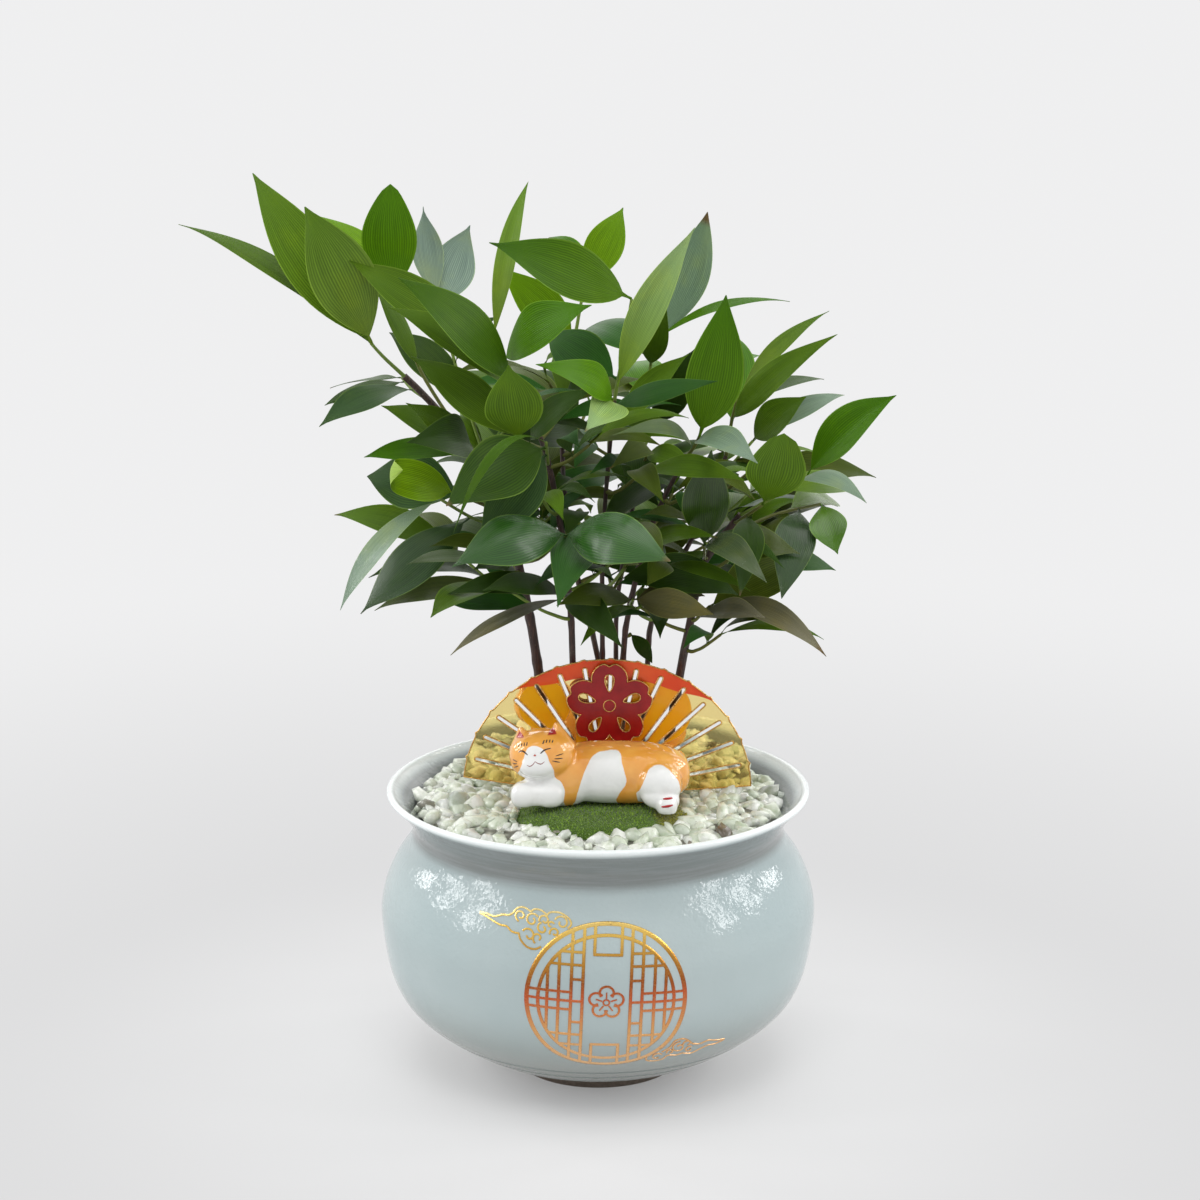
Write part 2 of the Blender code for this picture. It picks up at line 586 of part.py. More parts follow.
class Crowd:
    """What has been placed so far, so that a new leaf can be swung clear of it."""

    def __init__(self):
        self.members = []

    def add(self, bm, owner, kind):
        low, high = limits(bm)
        self.members.append((BVHTree.FromBMesh(bm), low, high, owner, kind))
        bm.free()

    def is_clear(self, bm, owner, kind):
        """Whole leaves are tried against other shoots, and blades against their own shoot's."""
        low, high = limits(bm)
        tree = BVHTree.FromBMesh(bm)
        bm.free()
        for other, other_low, other_high, other_owner, other_kind in self.members:
            if (owner == other_owner) != (kind == "blade") or (kind == "blade") != (other_kind == "blade"):
                continue
            apart = any(low[k] > other_high[k] or high[k] < other_low[k] for k in range(3))
            if not apart and tree.overlap(other):
                return False
        return True


def limits(bm):
    places = [v.co for v in bm.verts]
    return ([min(p[k] for p in places) for k in range(3)], [max(p[k] for p in places) for k in range(3)])


# How a leaf's tip may be moved to clear its neighbours, in mm: back and forth first, then up and down.
SWINGS = [(0, y, z) for z in (0, 7, -7, 13) for y in (0, -7, 7, -14, 14, -21, 21, -28, 28)]


def settle(crowd, owner, base, leaf):
    """The leaf's tip, swung until the leaf clears what is already there, or None."""
    tip, width, turn, arch = leaf
    for swing in SWINGS:
        place = tip + Vector(swing) * MM
        shape = (base, place, width + ROOM, turn, arch, BLADE_THICKNESS + ROOM)
        if (crowd.is_clear(leaf_solid(*shape), owner, "whole")
                and crowd.is_clear(leaf_solid(*shape, start=BLADE_START), owner, "blade")):
            crowd.add(leaf_solid(*shape), owner, "whole")
            crowd.add(leaf_solid(*shape, start=BLADE_START), owner, "blade")
            return place
    return None


def twig_route(number, places):
    """A twig's middle: it starts clear of its stem's side or end."""
    route = [Vector(p) * MM for p in places]
    stem = [Vector(p) * MM for p in STEMS[number][1]]
    way = (route[1] - route[0]).normalized()
    if (route[0] - stem[-1]).length < 1 * MM:
        route[0] = route[0] + way * 2 * GAP
        return smooth_route(route, 2)
    spans = list(zip(stem, stem[1:]))
    start, end = min(spans, key=lambda s: ((s[0] + s[1]) / 2 - route[0]).length)
    slant = max(0.35, way.cross((end - start).normalized()).length)
    route[0] = route[0] + way * (STEMS[number][0] * MM + TWIG_RADIUS + GAP) / slant
    return smooth_route(route, 2)


def filling_shoots():
    """Shoots for the shaded middle and the back, with opposite leaves, by rule."""
    chance = random.Random(SEED)
    shoots = {}
    for index, (number, share, heading, length) in enumerate(FILLING, start=1):
        stem = [Vector(p) for p in STEMS[number][1]]
        start = point_along(stem, share)
        angle = math.radians(heading)
        way = Vector((math.cos(angle), math.sin(angle), 0.45))
        twig = [start, start + way * length * 0.5, start + way * length + Vector((0, 0, 3))]
        leaves = []
        for along, spread in ((0.5, 65), (0.5, -65), (1.0, 35), (1.0, -35)):
            turned_by = math.radians(heading + spread + chance.uniform(-12, 12))
            rise = chance.uniform(-0.15, 0.45)
            size = chance.uniform(*LEAF_LENGTH)
            reach = Vector((math.cos(turned_by), math.sin(turned_by), rise)).normalized() * size
            tip = point_along(twig, along) + reach
            leaves.append((along, tuple(tip), chance.uniform(*LEAF_WIDTH), chance.uniform(0, 40),
                           chance.uniform(4, 9)))
        shoots[f"shoot_{number}_filling_{index}"] = (number, [tuple(p) for p in twig], leaves)
    return shoots


def make_foliage(parts, leaf_green):
    shoots = {**SHOOTS, **filling_shoots()}
    crowd = Crowd()
    for number, (radius, _) in STEMS.items():
        crowd.add(prism(stem_route(number), radius * MM + GAP), f"stem_{number}", "wood")
    routes = {name: twig_route(number, places) for name, (number, places, _) in shoots.items()}
    for name, route in routes.items():
        crowd.add(prism(route, TWIG_RADIUS + GAP), name, "wood")
    for name, (number, _, leaves) in shoots.items():
        route = routes[name]
        twig = tube(name, route, [TWIG_RADIUS] * len(route), leaf_green, parts)
        blades = new_collection(name + "_leaves")
        for index, (along, tip, width, turn, arch) in enumerate(leaves):
            base = point_along(route, along)
            shape = (Vector(tip) * MM, width * MM, turn, arch * MM)
            place = settle(crowd, name, base, shape)
            if place is None:
                continue
            bm = leaf_solid(base, place, shape[1], turn, shape[3], BLADE_THICKNESS)
            leaf = add_object(f"{name}_leaf_{index}", mesh_from(bm, name), None, blades)
            hide_tool(leaf)
        union = twig.modifiers.new("leaves", "BOOLEAN")
        union.operation = "UNION"
        union.solver = "EXACT"
        union.operand_type = "COLLECTION"
        union.collection = blades


# ---------------------------------------------------------------- the whole

def main():
    for obj in list(bpy.data.objects):
        bpy.data.objects.remove(obj)
    parts = new_collection("potted_nagi_tree")
    cutters = new_collection("cutters")
    materials = {
        "clay": new_material("baked_clay", (0.42, 0.22, 0.13), 0.9),
        "soil": new_material("dark_soil", (0.09, 0.06, 0.04), 0.95),
        "stone": new_material("pale_stones", (0.74, 0.77, 0.70), 0.55),
        "amber": new_material("amber_acrylic", (0.85, 0.60, 0.20), 0.15),
        "red": new_material("dark_red_plate", (0.36, 0.02, 0.04), 0.3),
    }
    pot_glaze = new_material("celadon_glaze", (0.53, 0.64, 0.65), 0.08)
    cat_glaze = new_material("cat_glaze", (0.83, 0.42, 0.12), 0.12)
    moss = new_material("green_moss", (0.10, 0.19, 0.03), 0.95)
    bark = new_material("dark_red_bark", (0.12, 0.05, 0.04), 0.7)
    leaf_green = new_material("nagi_leaf", (0.12, 0.28, 0.05), 0.35)
    make_pot(parts, pot_glaze)
    sockets = make_stems(parts, cutters, bark)
    sockets.append(make_fan_stake(parts, cutters, materials["amber"]))
    make_fill(parts, materials, sockets)
    make_moss(parts, moss)
    make_cat(parts, cutters, cat_glaze)
    make_fan(parts, materials)
    make_foliage(parts, leaf_green)


main()
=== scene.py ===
import json
import math
import random

import bmesh
import bpy
from mathutils import Matrix, Vector, noise
from mathutils.bvhtree import BVHTree

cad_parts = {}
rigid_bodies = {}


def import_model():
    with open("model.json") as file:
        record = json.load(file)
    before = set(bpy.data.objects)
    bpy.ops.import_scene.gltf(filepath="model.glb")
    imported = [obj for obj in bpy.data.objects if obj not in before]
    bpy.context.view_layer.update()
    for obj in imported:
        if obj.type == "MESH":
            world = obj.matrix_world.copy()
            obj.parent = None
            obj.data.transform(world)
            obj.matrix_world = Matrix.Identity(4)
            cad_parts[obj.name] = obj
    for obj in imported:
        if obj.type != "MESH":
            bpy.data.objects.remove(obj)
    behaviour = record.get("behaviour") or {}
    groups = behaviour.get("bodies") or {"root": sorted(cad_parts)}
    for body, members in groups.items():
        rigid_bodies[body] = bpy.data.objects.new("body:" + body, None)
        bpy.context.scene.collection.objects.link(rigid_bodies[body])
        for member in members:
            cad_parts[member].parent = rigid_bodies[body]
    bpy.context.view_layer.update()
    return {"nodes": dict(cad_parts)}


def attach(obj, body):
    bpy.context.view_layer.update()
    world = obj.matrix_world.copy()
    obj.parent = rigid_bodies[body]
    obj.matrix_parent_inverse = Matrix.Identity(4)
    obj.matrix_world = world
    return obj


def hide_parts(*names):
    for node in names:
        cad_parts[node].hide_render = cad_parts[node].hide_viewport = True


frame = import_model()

MM = 0.001


# ---------------------------------------------------------------- the glazed pot
# A thrown stoneware bowl with a round belly, a short neck and a flared lip, dipped in pale
# blue-green celadon glaze and fired. The glaze stops at the foot, which stays bare brown clay,
# and three fine lines are turned into the clay just above it.

POT_HEIGHT = 128 * MM
LIP_RADIUS = 1.9 * MM
RIM_RADIUS = 93 * MM
FOOT_LINE = 6.6 * MM
OUTER_KEYS = [(92.6, 126.1), (85.3, 118.5), (81.6, 111), (83.4, 104), (89.5, 95), (94.4, 83), (95.8, 69),
              (91.5, 44), (80.9, 28), (58, 12.5), (40, 7)]
INNER_KEYS = [(50, 9.5), (75.5, 30), (86.5, 47), (91, 69), (89.4, 83), (83.5, 95.5), (78.3, 104.5),
              (76.8, 111.5), (80.8, 120), (89, 126.6)]
FOOT_KEYS = [(38, 6), (37.6, 5), (37, 1.2), (36.2, 0.3), (35, 0), (12, 0), (0, 0)]
FLOOR_KEYS = [(0, 8), (30, 8.2)]
TURNED_LINES = (13.6, 18.6, 23.8)           # heights in mm
LINE_DEPTH = 0.5
POT_STEPS = 200
# Where the colour changes: the heights in metres where each change begins and where it is full.
# Painted shade: the glaze is painted darker towards the bottom of the belly.
SHADE_BELOW = (0.058, 0.018)
# A painted shadow on the neck, under the lip.
LIP_SHADOW_FROM = (0.1045, 0.1105)
LIP_SHADOW_TO = (0.1265, 0.123)
# A painted highlight along the top of the lip.
LIP_HIGHLIGHT_FROM = (0.1235, 0.1272)
SHOULDER = (0.062, 0.088)

belongings = bpy.data.collections.new("potted_nagi_tree")
bpy.context.scene.collection.children.link(belongings)


def smooth_route(points, per_span):
    """Points along a Catmull-Rom curve through the given ones."""
    route = [Vector(p) for p in points]
    ends = [2 * route[0] - route[1]] + route + [2 * route[-1] - route[-2]]
    curve = []
    for i in range(1, len(ends) - 2):
        before, start, end, after = ends[i - 1:i + 3]
        for k in range(per_span):
            t = k / per_span
            curve.append(0.5 * (2 * start + (end - before) * t
                                + (2 * before - 5 * start + 4 * end - after) * t * t
                                + (3 * start - before - 3 * end + after) * t ** 3))
    return curve + [route[-1]]


def mesh_from(bm, name):
    mesh = bpy.data.meshes.new(name)
    bm.to_mesh(mesh)
    bm.free()
    return mesh


def outward(bm):
    bmesh.ops.recalc_face_normals(bm, faces=bm.faces)


def smoothed(bm):
    for face in bm.faces:
        face.smooth = True


def skin(bm, first, second):
    """Faces between two rings of points that run the same way round."""
    count = len(first)
    return [bm.faces.new((first[k], first[(k + 1) % count], second[(k + 1) % count], second[k]))
            for k in range(count)]


def add_piece(name, shape, material, slot, *stands_for):
    """A finished piece of the one rigid body, which stands for these parts of it."""
    mesh = mesh_from(shape, name) if isinstance(shape, bmesh.types.BMesh) else shape
    piece = bpy.data.objects.new(name, mesh)
    if material is not None:
        mesh.materials.append(material)
    belongings.objects.link(piece)
    if stands_for:
        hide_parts(*stands_for)
    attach(piece, "root")
    return piece


class Field:
    """A value or colour that varies from place to place: the output of a node, with arithmetic."""

    def __init__(self, socket):
        self.socket = socket
        self.tree = socket.id_data

    def __getitem__(self, name):
        """Another output of the same node."""
        return Field(self.socket.node.outputs[name])

    def __add__(self, other):
        return reckon("ADD", self, other)

    def __sub__(self, other):
        return reckon("SUBTRACT", self, other)

    def __rsub__(self, other):
        return reckon("SUBTRACT", other, self)

    def __mul__(self, other):
        return reckon("MULTIPLY", self, other)

    __radd__ = __add__
    __rmul__ = __mul__


def put(tree, kind, inputs=None, output=0, **settings):
    """Adds a node and returns one of its outputs; an input that is a field is joined to it."""
    made = tree.nodes.new(kind)
    for key, value in settings.items():
        setattr(made, key, value)
    for key, value in (inputs or {}).items():
        socket = made.inputs[key]
        if isinstance(value, Field):
            tree.links.new(value.socket, socket)
        else:
            socket.default_value = (*value, 1) if socket.type == "RGBA" and len(value) == 3 else value
    return Field(made.outputs[output])


def tree_of(*values):
    return next(value.tree for value in values if isinstance(value, Field))


def reckon(how, first, second=0.0):
    """One step of arithmetic on fields or numbers."""
    return put(tree_of(first, second), "ShaderNodeMath", {0: first, 1: second}, operation=how)


def split(place):
    parts = put(place.tree, "ShaderNodeSeparateXYZ", {"Vector": place})
    return [parts[axis] for axis in "XYZ"]


def stretched(place, scale):
    return put(place.tree, "ShaderNodeMapping", {"Vector": place, "Scale": scale})


def speckle(place, scale, detail=3.0, roughness=0.5):
    """Noise of this many features to the metre."""
    return put(place.tree, "ShaderNodeTexNoise", {
        "Vector": place, "Scale": scale, "Detail": detail, "Roughness": roughness}, "Fac")


def cells(place, scale):
    """How far each place is from the middle of its cell."""
    return put(place.tree, "ShaderNodeTexVoronoi", {"Vector": place, "Scale": scale}, "Distance")


def between(value, low, high):
    """0 below low, 1 above high, and smooth in between."""
    return put(value.tree, "ShaderNodeMapRange", {"Value": value, "From Min": low, "From Max": high},
               interpolation_type="SMOOTHSTEP")


def ramp(value, stops):
    """Colours along a value; each stop is a place and a colour."""
    made = put(value.tree, "ShaderNodeValToRGB", {"Fac": value})
    elements = made.socket.node.color_ramp.elements
    while len(elements) < len(stops):
        elements.new(0.5)
    for element, (place, colour) in zip(elements, stops.items()):
        element.position = place
        element.color = (*colour, 1)
    return made


def blend(share, first, second, how="MIX"):
    return put(tree_of(share, first, second), "ShaderNodeMix", {0: share, 6: first, 7: second}, 2,
               data_type="RGBA", blend_type=how)


def dyed(colour, dye, share=1.0):
    """The colour times the dye, where the share is 1."""
    return blend(share, colour, dye, "MULTIPLY")


class Finish:
    """A node material in the making."""

    def __init__(self, name, **values):
        """The values are its shader's; an underscore in their names stands for a space."""
        self.material = bpy.data.materials.new(name)
        self.material.use_nodes = True
        self.tree = self.material.node_tree
        self.shader = self.tree.nodes["Principled BSDF"]
        for key, value in values.items():
            self.shader.inputs[key.replace("_", " ")].default_value = value
        self.place = put(self.tree, "ShaderNodeTexCoord", output="Object")

    def attribute(self, name):
        """A number stored on the mesh."""
        return put(self.tree, "ShaderNodeAttribute", output="Fac", attribute_name=name,
                   attribute_type="GEOMETRY")

    def made(self, colour, height, depth, **fields):
        """Joins the colour, a bump of this depth in metres and any other fields."""
        bump = put(self.tree, "ShaderNodeBump", {"Height": height, "Distance": depth, "Strength": 1.0})
        for key, field in {"Base Color": colour, "Normal": bump, **fields}.items():
            self.tree.links.new(field.socket, self.shader.inputs[key])
        return self.material


def outer_profile():
    """The pot's outside from under the lip to the foot, with the turned lines in it."""
    profile = []
    for i, place in enumerate(smooth_route(OUTER_KEYS, 60)):
        if i % 6 and not 11 < place.y < 26:
            continue
        dip = sum(LINE_DEPTH * math.exp(-((place.y - line) / 0.5) ** 2) for line in TURNED_LINES)
        profile.append(((place.x - dip * 0.5) * MM, (place.y + dip * 0.85) * MM))
    return profile


def turned_shape(profile, steps):
    """A closed solid of revolution about Z; the profile runs from the axis back to the axis."""
    bm = bmesh.new()
    turns = [math.tau * k / steps for k in range(steps)]
    rings = [[bm.verts.new((radius * math.cos(a), radius * math.sin(a), height))
              for a in (turns if radius else [0])] for radius, height in profile]
    for upper, lower in zip(rings, rings[1:]):
        if len(upper) == len(lower):
            skin(bm, upper, lower)
            continue
        (tip,), ring = sorted((upper, lower), key=len)
        for k in range(steps):
            bm.faces.new((tip, ring[k], ring[(k + 1) % steps]))
    outward(bm)
    return bm


def celadon():
    glaze = Finish("celadon_glaze")
    place = glaze.place
    height = split(place)[2]
    body = ramp(speckle(place, 14, 4), {0.3: (0.365, 0.445, 0.455), 0.7: (0.425, 0.495, 0.50)})
    # Painted shade: darker towards the bottom of the belly.
    body = blend(between(height, *SHADE_BELOW), body, (0.265, 0.285, 0.265))
    # Painted shadow under the lip: the neck is painted dark grey, with lighter rings in it.
    neck = between(height, *LIP_SHADOW_FROM) * between(height, *LIP_SHADOW_TO)
    body = blend(neck * 0.8, body, (0.165, 0.172, 0.165))
    rings = speckle(stretched(place, (0.04, 0.04, 1)), 900)
    body = dyed(body, (1.14, 1.13, 1.15), neck * between(rings, 0.42, 0.62))
    # A painted highlight: the top of the lip is painted nearly white.
    body = blend(between(height, *LIP_HIGHLIGHT_FROM) * 0.9, body, (0.86, 0.90, 0.90))
    for line in TURNED_LINES:
        groove = between(reckon("ABSOLUTE", height - line * MM), 0.0008, 0.0002)
        body = blend(groove * 0.55, body, (0.13, 0.17, 0.17))
    gap = cells(place, 95)
    size = put(glaze.tree, "ShaderNodeTexWhiteNoise", {"Vector": gap["Position"]}, noise_dimensions="3D")
    speck = reckon("LESS_THAN", gap, between(size, 0.86, 1.0) * 0.055)
    body = blend(speck * 0.6, body, (0.12, 0.10, 0.07))
    bare = between(height + speckle(place, 900, 2) * 0.0006, FOOT_LINE + 0.0006, FOOT_LINE)
    grit = speckle(place, 700, 6, 0.7)
    clay = ramp(grit, {0.3: (0.15, 0.115, 0.09), 0.75: (0.27, 0.22, 0.18)})
    rough = between(speckle(place, 60, 4), 0.35, 0.75) * 0.05 + 0.05
    rough = reckon("MAXIMUM", rough, bare * 0.8)
    orange_peel = speckle(place, 520, 2) * between(height, *SHOULDER) * 0.42
    ripple = speckle(place, 130, 2) * 0.55 + orange_peel + grit * bare
    return glaze.made(blend(bare, body, clay), ripple, 0.00042, Roughness=rough)


lip_arc = [(RIM_RADIUS - LIP_RADIUS + LIP_RADIUS * math.cos(math.radians(a)),
            POT_HEIGHT - LIP_RADIUS + LIP_RADIUS * math.sin(math.radians(a))) for a in range(150, 20, -10)]
inner_side = [(r * MM, z * MM) for r, z in FLOOR_KEYS + smooth_route(INNER_KEYS, 6)]
foot = [(r * MM, z * MM) for r, z in FOOT_KEYS]
pot = turned_shape(inner_side + lip_arc + outer_profile() + foot, POT_STEPS)
smoothed(pot)
add_piece("glazed_pot", pot, celadon(), "pot_glaze", "pot")


# ---------------------------------------------------------------- the gilt roundel
# A moon window with lattice bars, a blossom in its middle, and two drifting clouds: thin lines of
# gold lustre painted on the belly over the glaze and fired again. The gold turns from yellow at the
# top through red copper to pale copper below.

LINE_HEIGHT = 0.28 * MM
LINE_SECTION = ((-0.5, -0.3), (-0.38, 0.75), (0, 1), (0.38, 0.75), (0.5, -0.3))
ROUNDEL_MIDDLE = Vector((3.5, -1.2))        # mm round the belly, and up along it from its datum
ROUNDEL_TILT = -2.2                         # degrees
BELLY_DATUM = 65.0                          # mm above the foot
WINDOW_RADIUS = 33.6
INNER_RADIUS = 28.7
BAR_PLACES = (10, 14.8, 20, 24.8)
BAR_STEP = 2.0
PANEL_EDGE = 20.6                           # the bare panel in the middle ends this far up and down
RUNG_PLACES = ((4, 14.8, 33), (9.8, 10, 14.8), (15.9, 10, 24), (21.2, 10, 19.5))
# Each curl of a cloud: its middle, radius, where it starts and where it ends, in degrees.
UPPER_CURLS = [((-32.6, 33.6), 2.6, 250, -130), ((-27.6, 32.4), 3.0, 30, 420),
               ((-22.2, 32.8), 2.4, 200, -160), ((-14.9, 32.2), 3.1, 160, -210),
               ((-23.0, 29.3), 2.5, 100, 430), ((-17.9, 27.9), 2.2, 200, -150),
               ((-29.0, 26.0), 3.0, 150, -170), ((-25.0, 25.2), 2.5, 240, -60),
               ((-19.6, 31.0), 1.6, 20, 300)]
UPPER_EDGES = [[(-52, 32.2), (-48.6, 32.1), (-44.9, 31.6), (-41, 32.9), (-38, 33.2), (-36.2, 34.2)],
               [(-52, 31.8), (-48.6, 30.9), (-45.7, 29.8), (-42, 28.6), (-38.9, 28.4), (-36.5, 26.6),
                (-33, 26.2)],
               [(-36.2, 34.2), (-34.2, 36.6), (-31.2, 37.3), (-28.2, 35.9)],
               [(-28.4, 35.6), (-26.6, 37.0), (-23.8, 36.9), (-21.2, 35.2)],
               [(-21.4, 34.8), (-19.6, 36.4), (-15.6, 36.4), (-12.0, 34.2), (-11.0, 31.8), (-12.4, 30.0)],
               [(-33.4, 26.2), (-32.6, 23.8), (-29.8, 21.2), (-26.4, 20.6), (-23.6, 21.8)]]
LOWER_CURLS = [((34.9, -27.0), 3.4, 80, 500), ((25.0, -31.6), 2.6, 30, 330), ((38.8, -25.6), 2.2, 190, -90),
               ((39.6, -29.6), 2.0, 60, 380), ((31.0, -29.2), 1.8, 200, -120)]
LOWER_EDGES = [[(27.2, -28.6), (30.6, -26.2), (33.0, -22.8), (36.4, -22.2), (39.0, -23.6), (41.4, -26.4)],
               [(41.0, -26.2), (44.6, -27.2), (48.8, -26.2), (52.6, -27.4), (57.4, -28.2)],
               [(36.4, -31.6), (40.6, -33.0), (44.4, -31.2), (48.6, -29.6), (52.6, -29.8), (57.4, -28.6)],
               [(20.6, -31.0), (20.4, -33.4), (23.2, -34.8), (27.4, -34.2), (29.8, -31.6), (33.6, -32.4),
                (36.4, -31.6)]]

belly = [(r, z) for r, z in outer_profile() if z > 16 * MM]


def belly_length():
    """How far along the belly's outline each of its points is from the datum, upwards in mm."""
    lengths = [0.0]
    for here, below in zip(belly, belly[1:]):
        lengths.append(lengths[-1] - math.dist(here, below) / MM)
    datum = min(range(len(belly)), key=lambda i: abs(belly[i][1] - BELLY_DATUM * MM))
    return [length - lengths[datum] for length in lengths]


belly_lengths = belly_length()


def on_belly(across, up, height):
    """A place on the belly, this far round it and up along it in mm, and height over the glaze."""
    i = next(i for i, below in enumerate(belly_lengths[1:]) if below <= up)
    share = (belly_lengths[i] - up) / (belly_lengths[i] - belly_lengths[i + 1])
    (r1, z1), (r2, z2) = belly[i], belly[i + 1]
    radius, rise = r1 + (r2 - r1) * share, z1 + (z2 - z1) * share
    lean = Vector((z1 - z2, r2 - r1)).normalized()
    angle = across * MM / radius
    radius += lean.x * height
    return Vector((radius * math.sin(angle), -radius * math.cos(angle), rise + lean.y * height))


def painted_line(bm, route, width, closed=False):
    """A low rounded line of paint along a route on the belly."""
    rows = []
    count = len(route)
    for i, (u, w) in enumerate(route):
        last = route[(i - 1) % count] if closed or i else route[i]
        after = route[(i + 1) % count] if closed or i < count - 1 else route[i]
        way = (after - last).normalized()
        rows.append([bm.verts.new(on_belly(u - way.y * width * s, w + way.x * width * s, LINE_HEIGHT * h))
                     for s, h in LINE_SECTION])
    for first, second in zip(rows, rows[1:] + (rows[:1] if closed else [])):
        skin(bm, first, second)
    if not closed:
        bm.faces.new(rows[0])
        bm.faces.new(rows[-1][::-1])


def polar(radius, degrees):
    return Vector((radius * math.cos(math.radians(degrees)), radius * math.sin(math.radians(degrees))))


def arc(middle, radius, start, end, step=4.0, shrink=0.0):
    """Points round an arc, in degrees; shrink draws it in to a curl."""
    count = max(3, int(abs(end - start) / step))
    return [Vector(middle) + polar(radius * (1 - shrink * k / count), start + (end - start) * k / count)
            for k in range(count + 1)]


def settled(route):
    """A route in the roundel's own plane, turned by its tilt and put in its place."""
    tilt = Matrix.Rotation(math.radians(ROUNDEL_TILT), 2)
    return [ROUNDEL_MIDDLE + tilt @ place for place in route]


def bar(bm, start, end, width):
    """A straight line of the roundel, in steps so that it bends with the belly."""
    start, end = Vector(start), Vector(end)
    count = max(1, round((end - start).length / BAR_STEP))
    painted_line(bm, settled([start.lerp(end, k / count) for k in range(count + 1)]), width)


def window_lines(bm):
    for radius, width in ((WINDOW_RADIUS, 2.1), (INNER_RADIUS, 1.6)):
        painted_line(bm, settled(arc((0, 0), radius, 0, 356)), width, closed=True)
    for side in (-1, 1):
        for place in BAR_PLACES:
            ring = WINDOW_RADIUS if place < 15 else INNER_RADIUS
            reach = math.sqrt(ring ** 2 - place ** 2) - 0.5
            bar(bm, (side * place, -reach), (side * place, reach), 1.5)
        bar(bm, (side * 10, 0), (side * 33, 0), 1.25)
        for level in (-1, 1):
            for height, start, end in RUNG_PLACES:
                bar(bm, (side * start, level * height), (side * end, level * height), 1.25)
            bar(bm, (side * 5.6, level * PANEL_EDGE), (side * 5.6, level * (WINDOW_RADIUS - 0.6)), 1.45)
    for level in (-1, 1):
        bar(bm, (-6.1, level * PANEL_EDGE), (6.1, level * PANEL_EDGE), 1.35)


def blossom_lines(bm):
    """Five petals about an eye, in the bare panel at the middle."""
    for turn in range(90, 450, 72):
        painted_line(bm, settled(arc(polar(4.4, turn), 2.9, turn - 128, turn + 128, 12)), 1.1)
        painted_line(bm, settled([polar(1.9, turn), polar(4.6, turn)]), 0.7)
    painted_line(bm, settled(arc((0, 0), 1.3, 0, 330, 30)), 0.8, closed=True)


def cloud_lines(bm, curls, edges, width):
    for curl in curls:
        painted_line(bm, arc(*curl, 14, shrink=0.72), width)
    for edge in edges:
        painted_line(bm, smooth_route(edge, 5), width)


def gold_lustre():
    gold = Finish("gold_lustre", Metallic=1.0)
    height = speckle(gold.place, 45, 3) * 0.012 + split(gold.place)[2]
    share = put(gold.tree, "ShaderNodeMapRange", {"Value": height, "From Min": 0.036, "From Max": 0.108})
    body = ramp(share, {0.0: (0.83, 0.52, 0.28), 0.26: (0.76, 0.40, 0.16), 0.47: (0.62, 0.13, 0.05),
                        0.58: (0.40, 0.11, 0.03), 0.72: (0.52, 0.25, 0.04), 0.86: (0.83, 0.55, 0.13),
                        1.0: (0.92, 0.76, 0.36)})
    worn = speckle(gold.place, 1600, 5, 0.65)
    body = blend(between(worn, 0.72, 0.5), (0.45, 0.28, 0.12), body)
    return gold.made(body, worn, 0.00008, Roughness=worn * 0.25 + 0.14)


gilding = bmesh.new()
window_lines(gilding)
blossom_lines(gilding)
cloud_lines(gilding, UPPER_CURLS, UPPER_EDGES, 0.95)
cloud_lines(gilding, LOWER_CURLS, LOWER_EDGES, 0.8)
outward(gilding)
smoothed(gilding)
roundel = add_piece("gilt_roundel", gilding, gold_lustre(), "pot_glaze")
roundel.data.set_sharp_from_angle(angle=math.radians(50))


# ---------------------------------------------------------------- drainage and soil
# Broken baked clay lies on the floor of the pot and dark potting soil fills it to the neck; both
# are poured in, and the stones hide them.

def baked_clay():
    clay = Finish("baked_clay", Roughness=0.9)
    lumps = ramp(speckle(clay.place, 300), {0.3: (0.30, 0.13, 0.07), 0.7: (0.48, 0.26, 0.15)})
    return clay.made(lumps, cells(clay.place, 110), 0.004)


def potting_soil():
    soil = Finish("dark_soil", Roughness=0.95)
    crumbs = speckle(soil.place, 420, 8, 0.7)
    return soil.made(ramp(crumbs, {0.3: (0.02, 0.013, 0.008), 0.75: (0.12, 0.08, 0.05)}), crumbs, 0.002)


def refinish(name, material):
    """A part that keeps its own shape gets a better finish."""
    for holder in frame["nodes"][name].material_slots:
        holder.material = material


refinish("drainage_layer", baked_clay())
refinish("potting_soil", potting_soil())


# ---------------------------------------------------------------- the stems
# Eight young stems planted close together, each grown from one seed. Thin dark red-brown bark with
# fine lengthwise cracks and a slight ring wherever a shoot leaves; they stand in the soil.

STEM_STEP = 1.5 * MM
STEM_TAPER = 0.4
STEM_SCARS = 9
BARK_SIDES = 14
BARK_GROWTH = 1.15

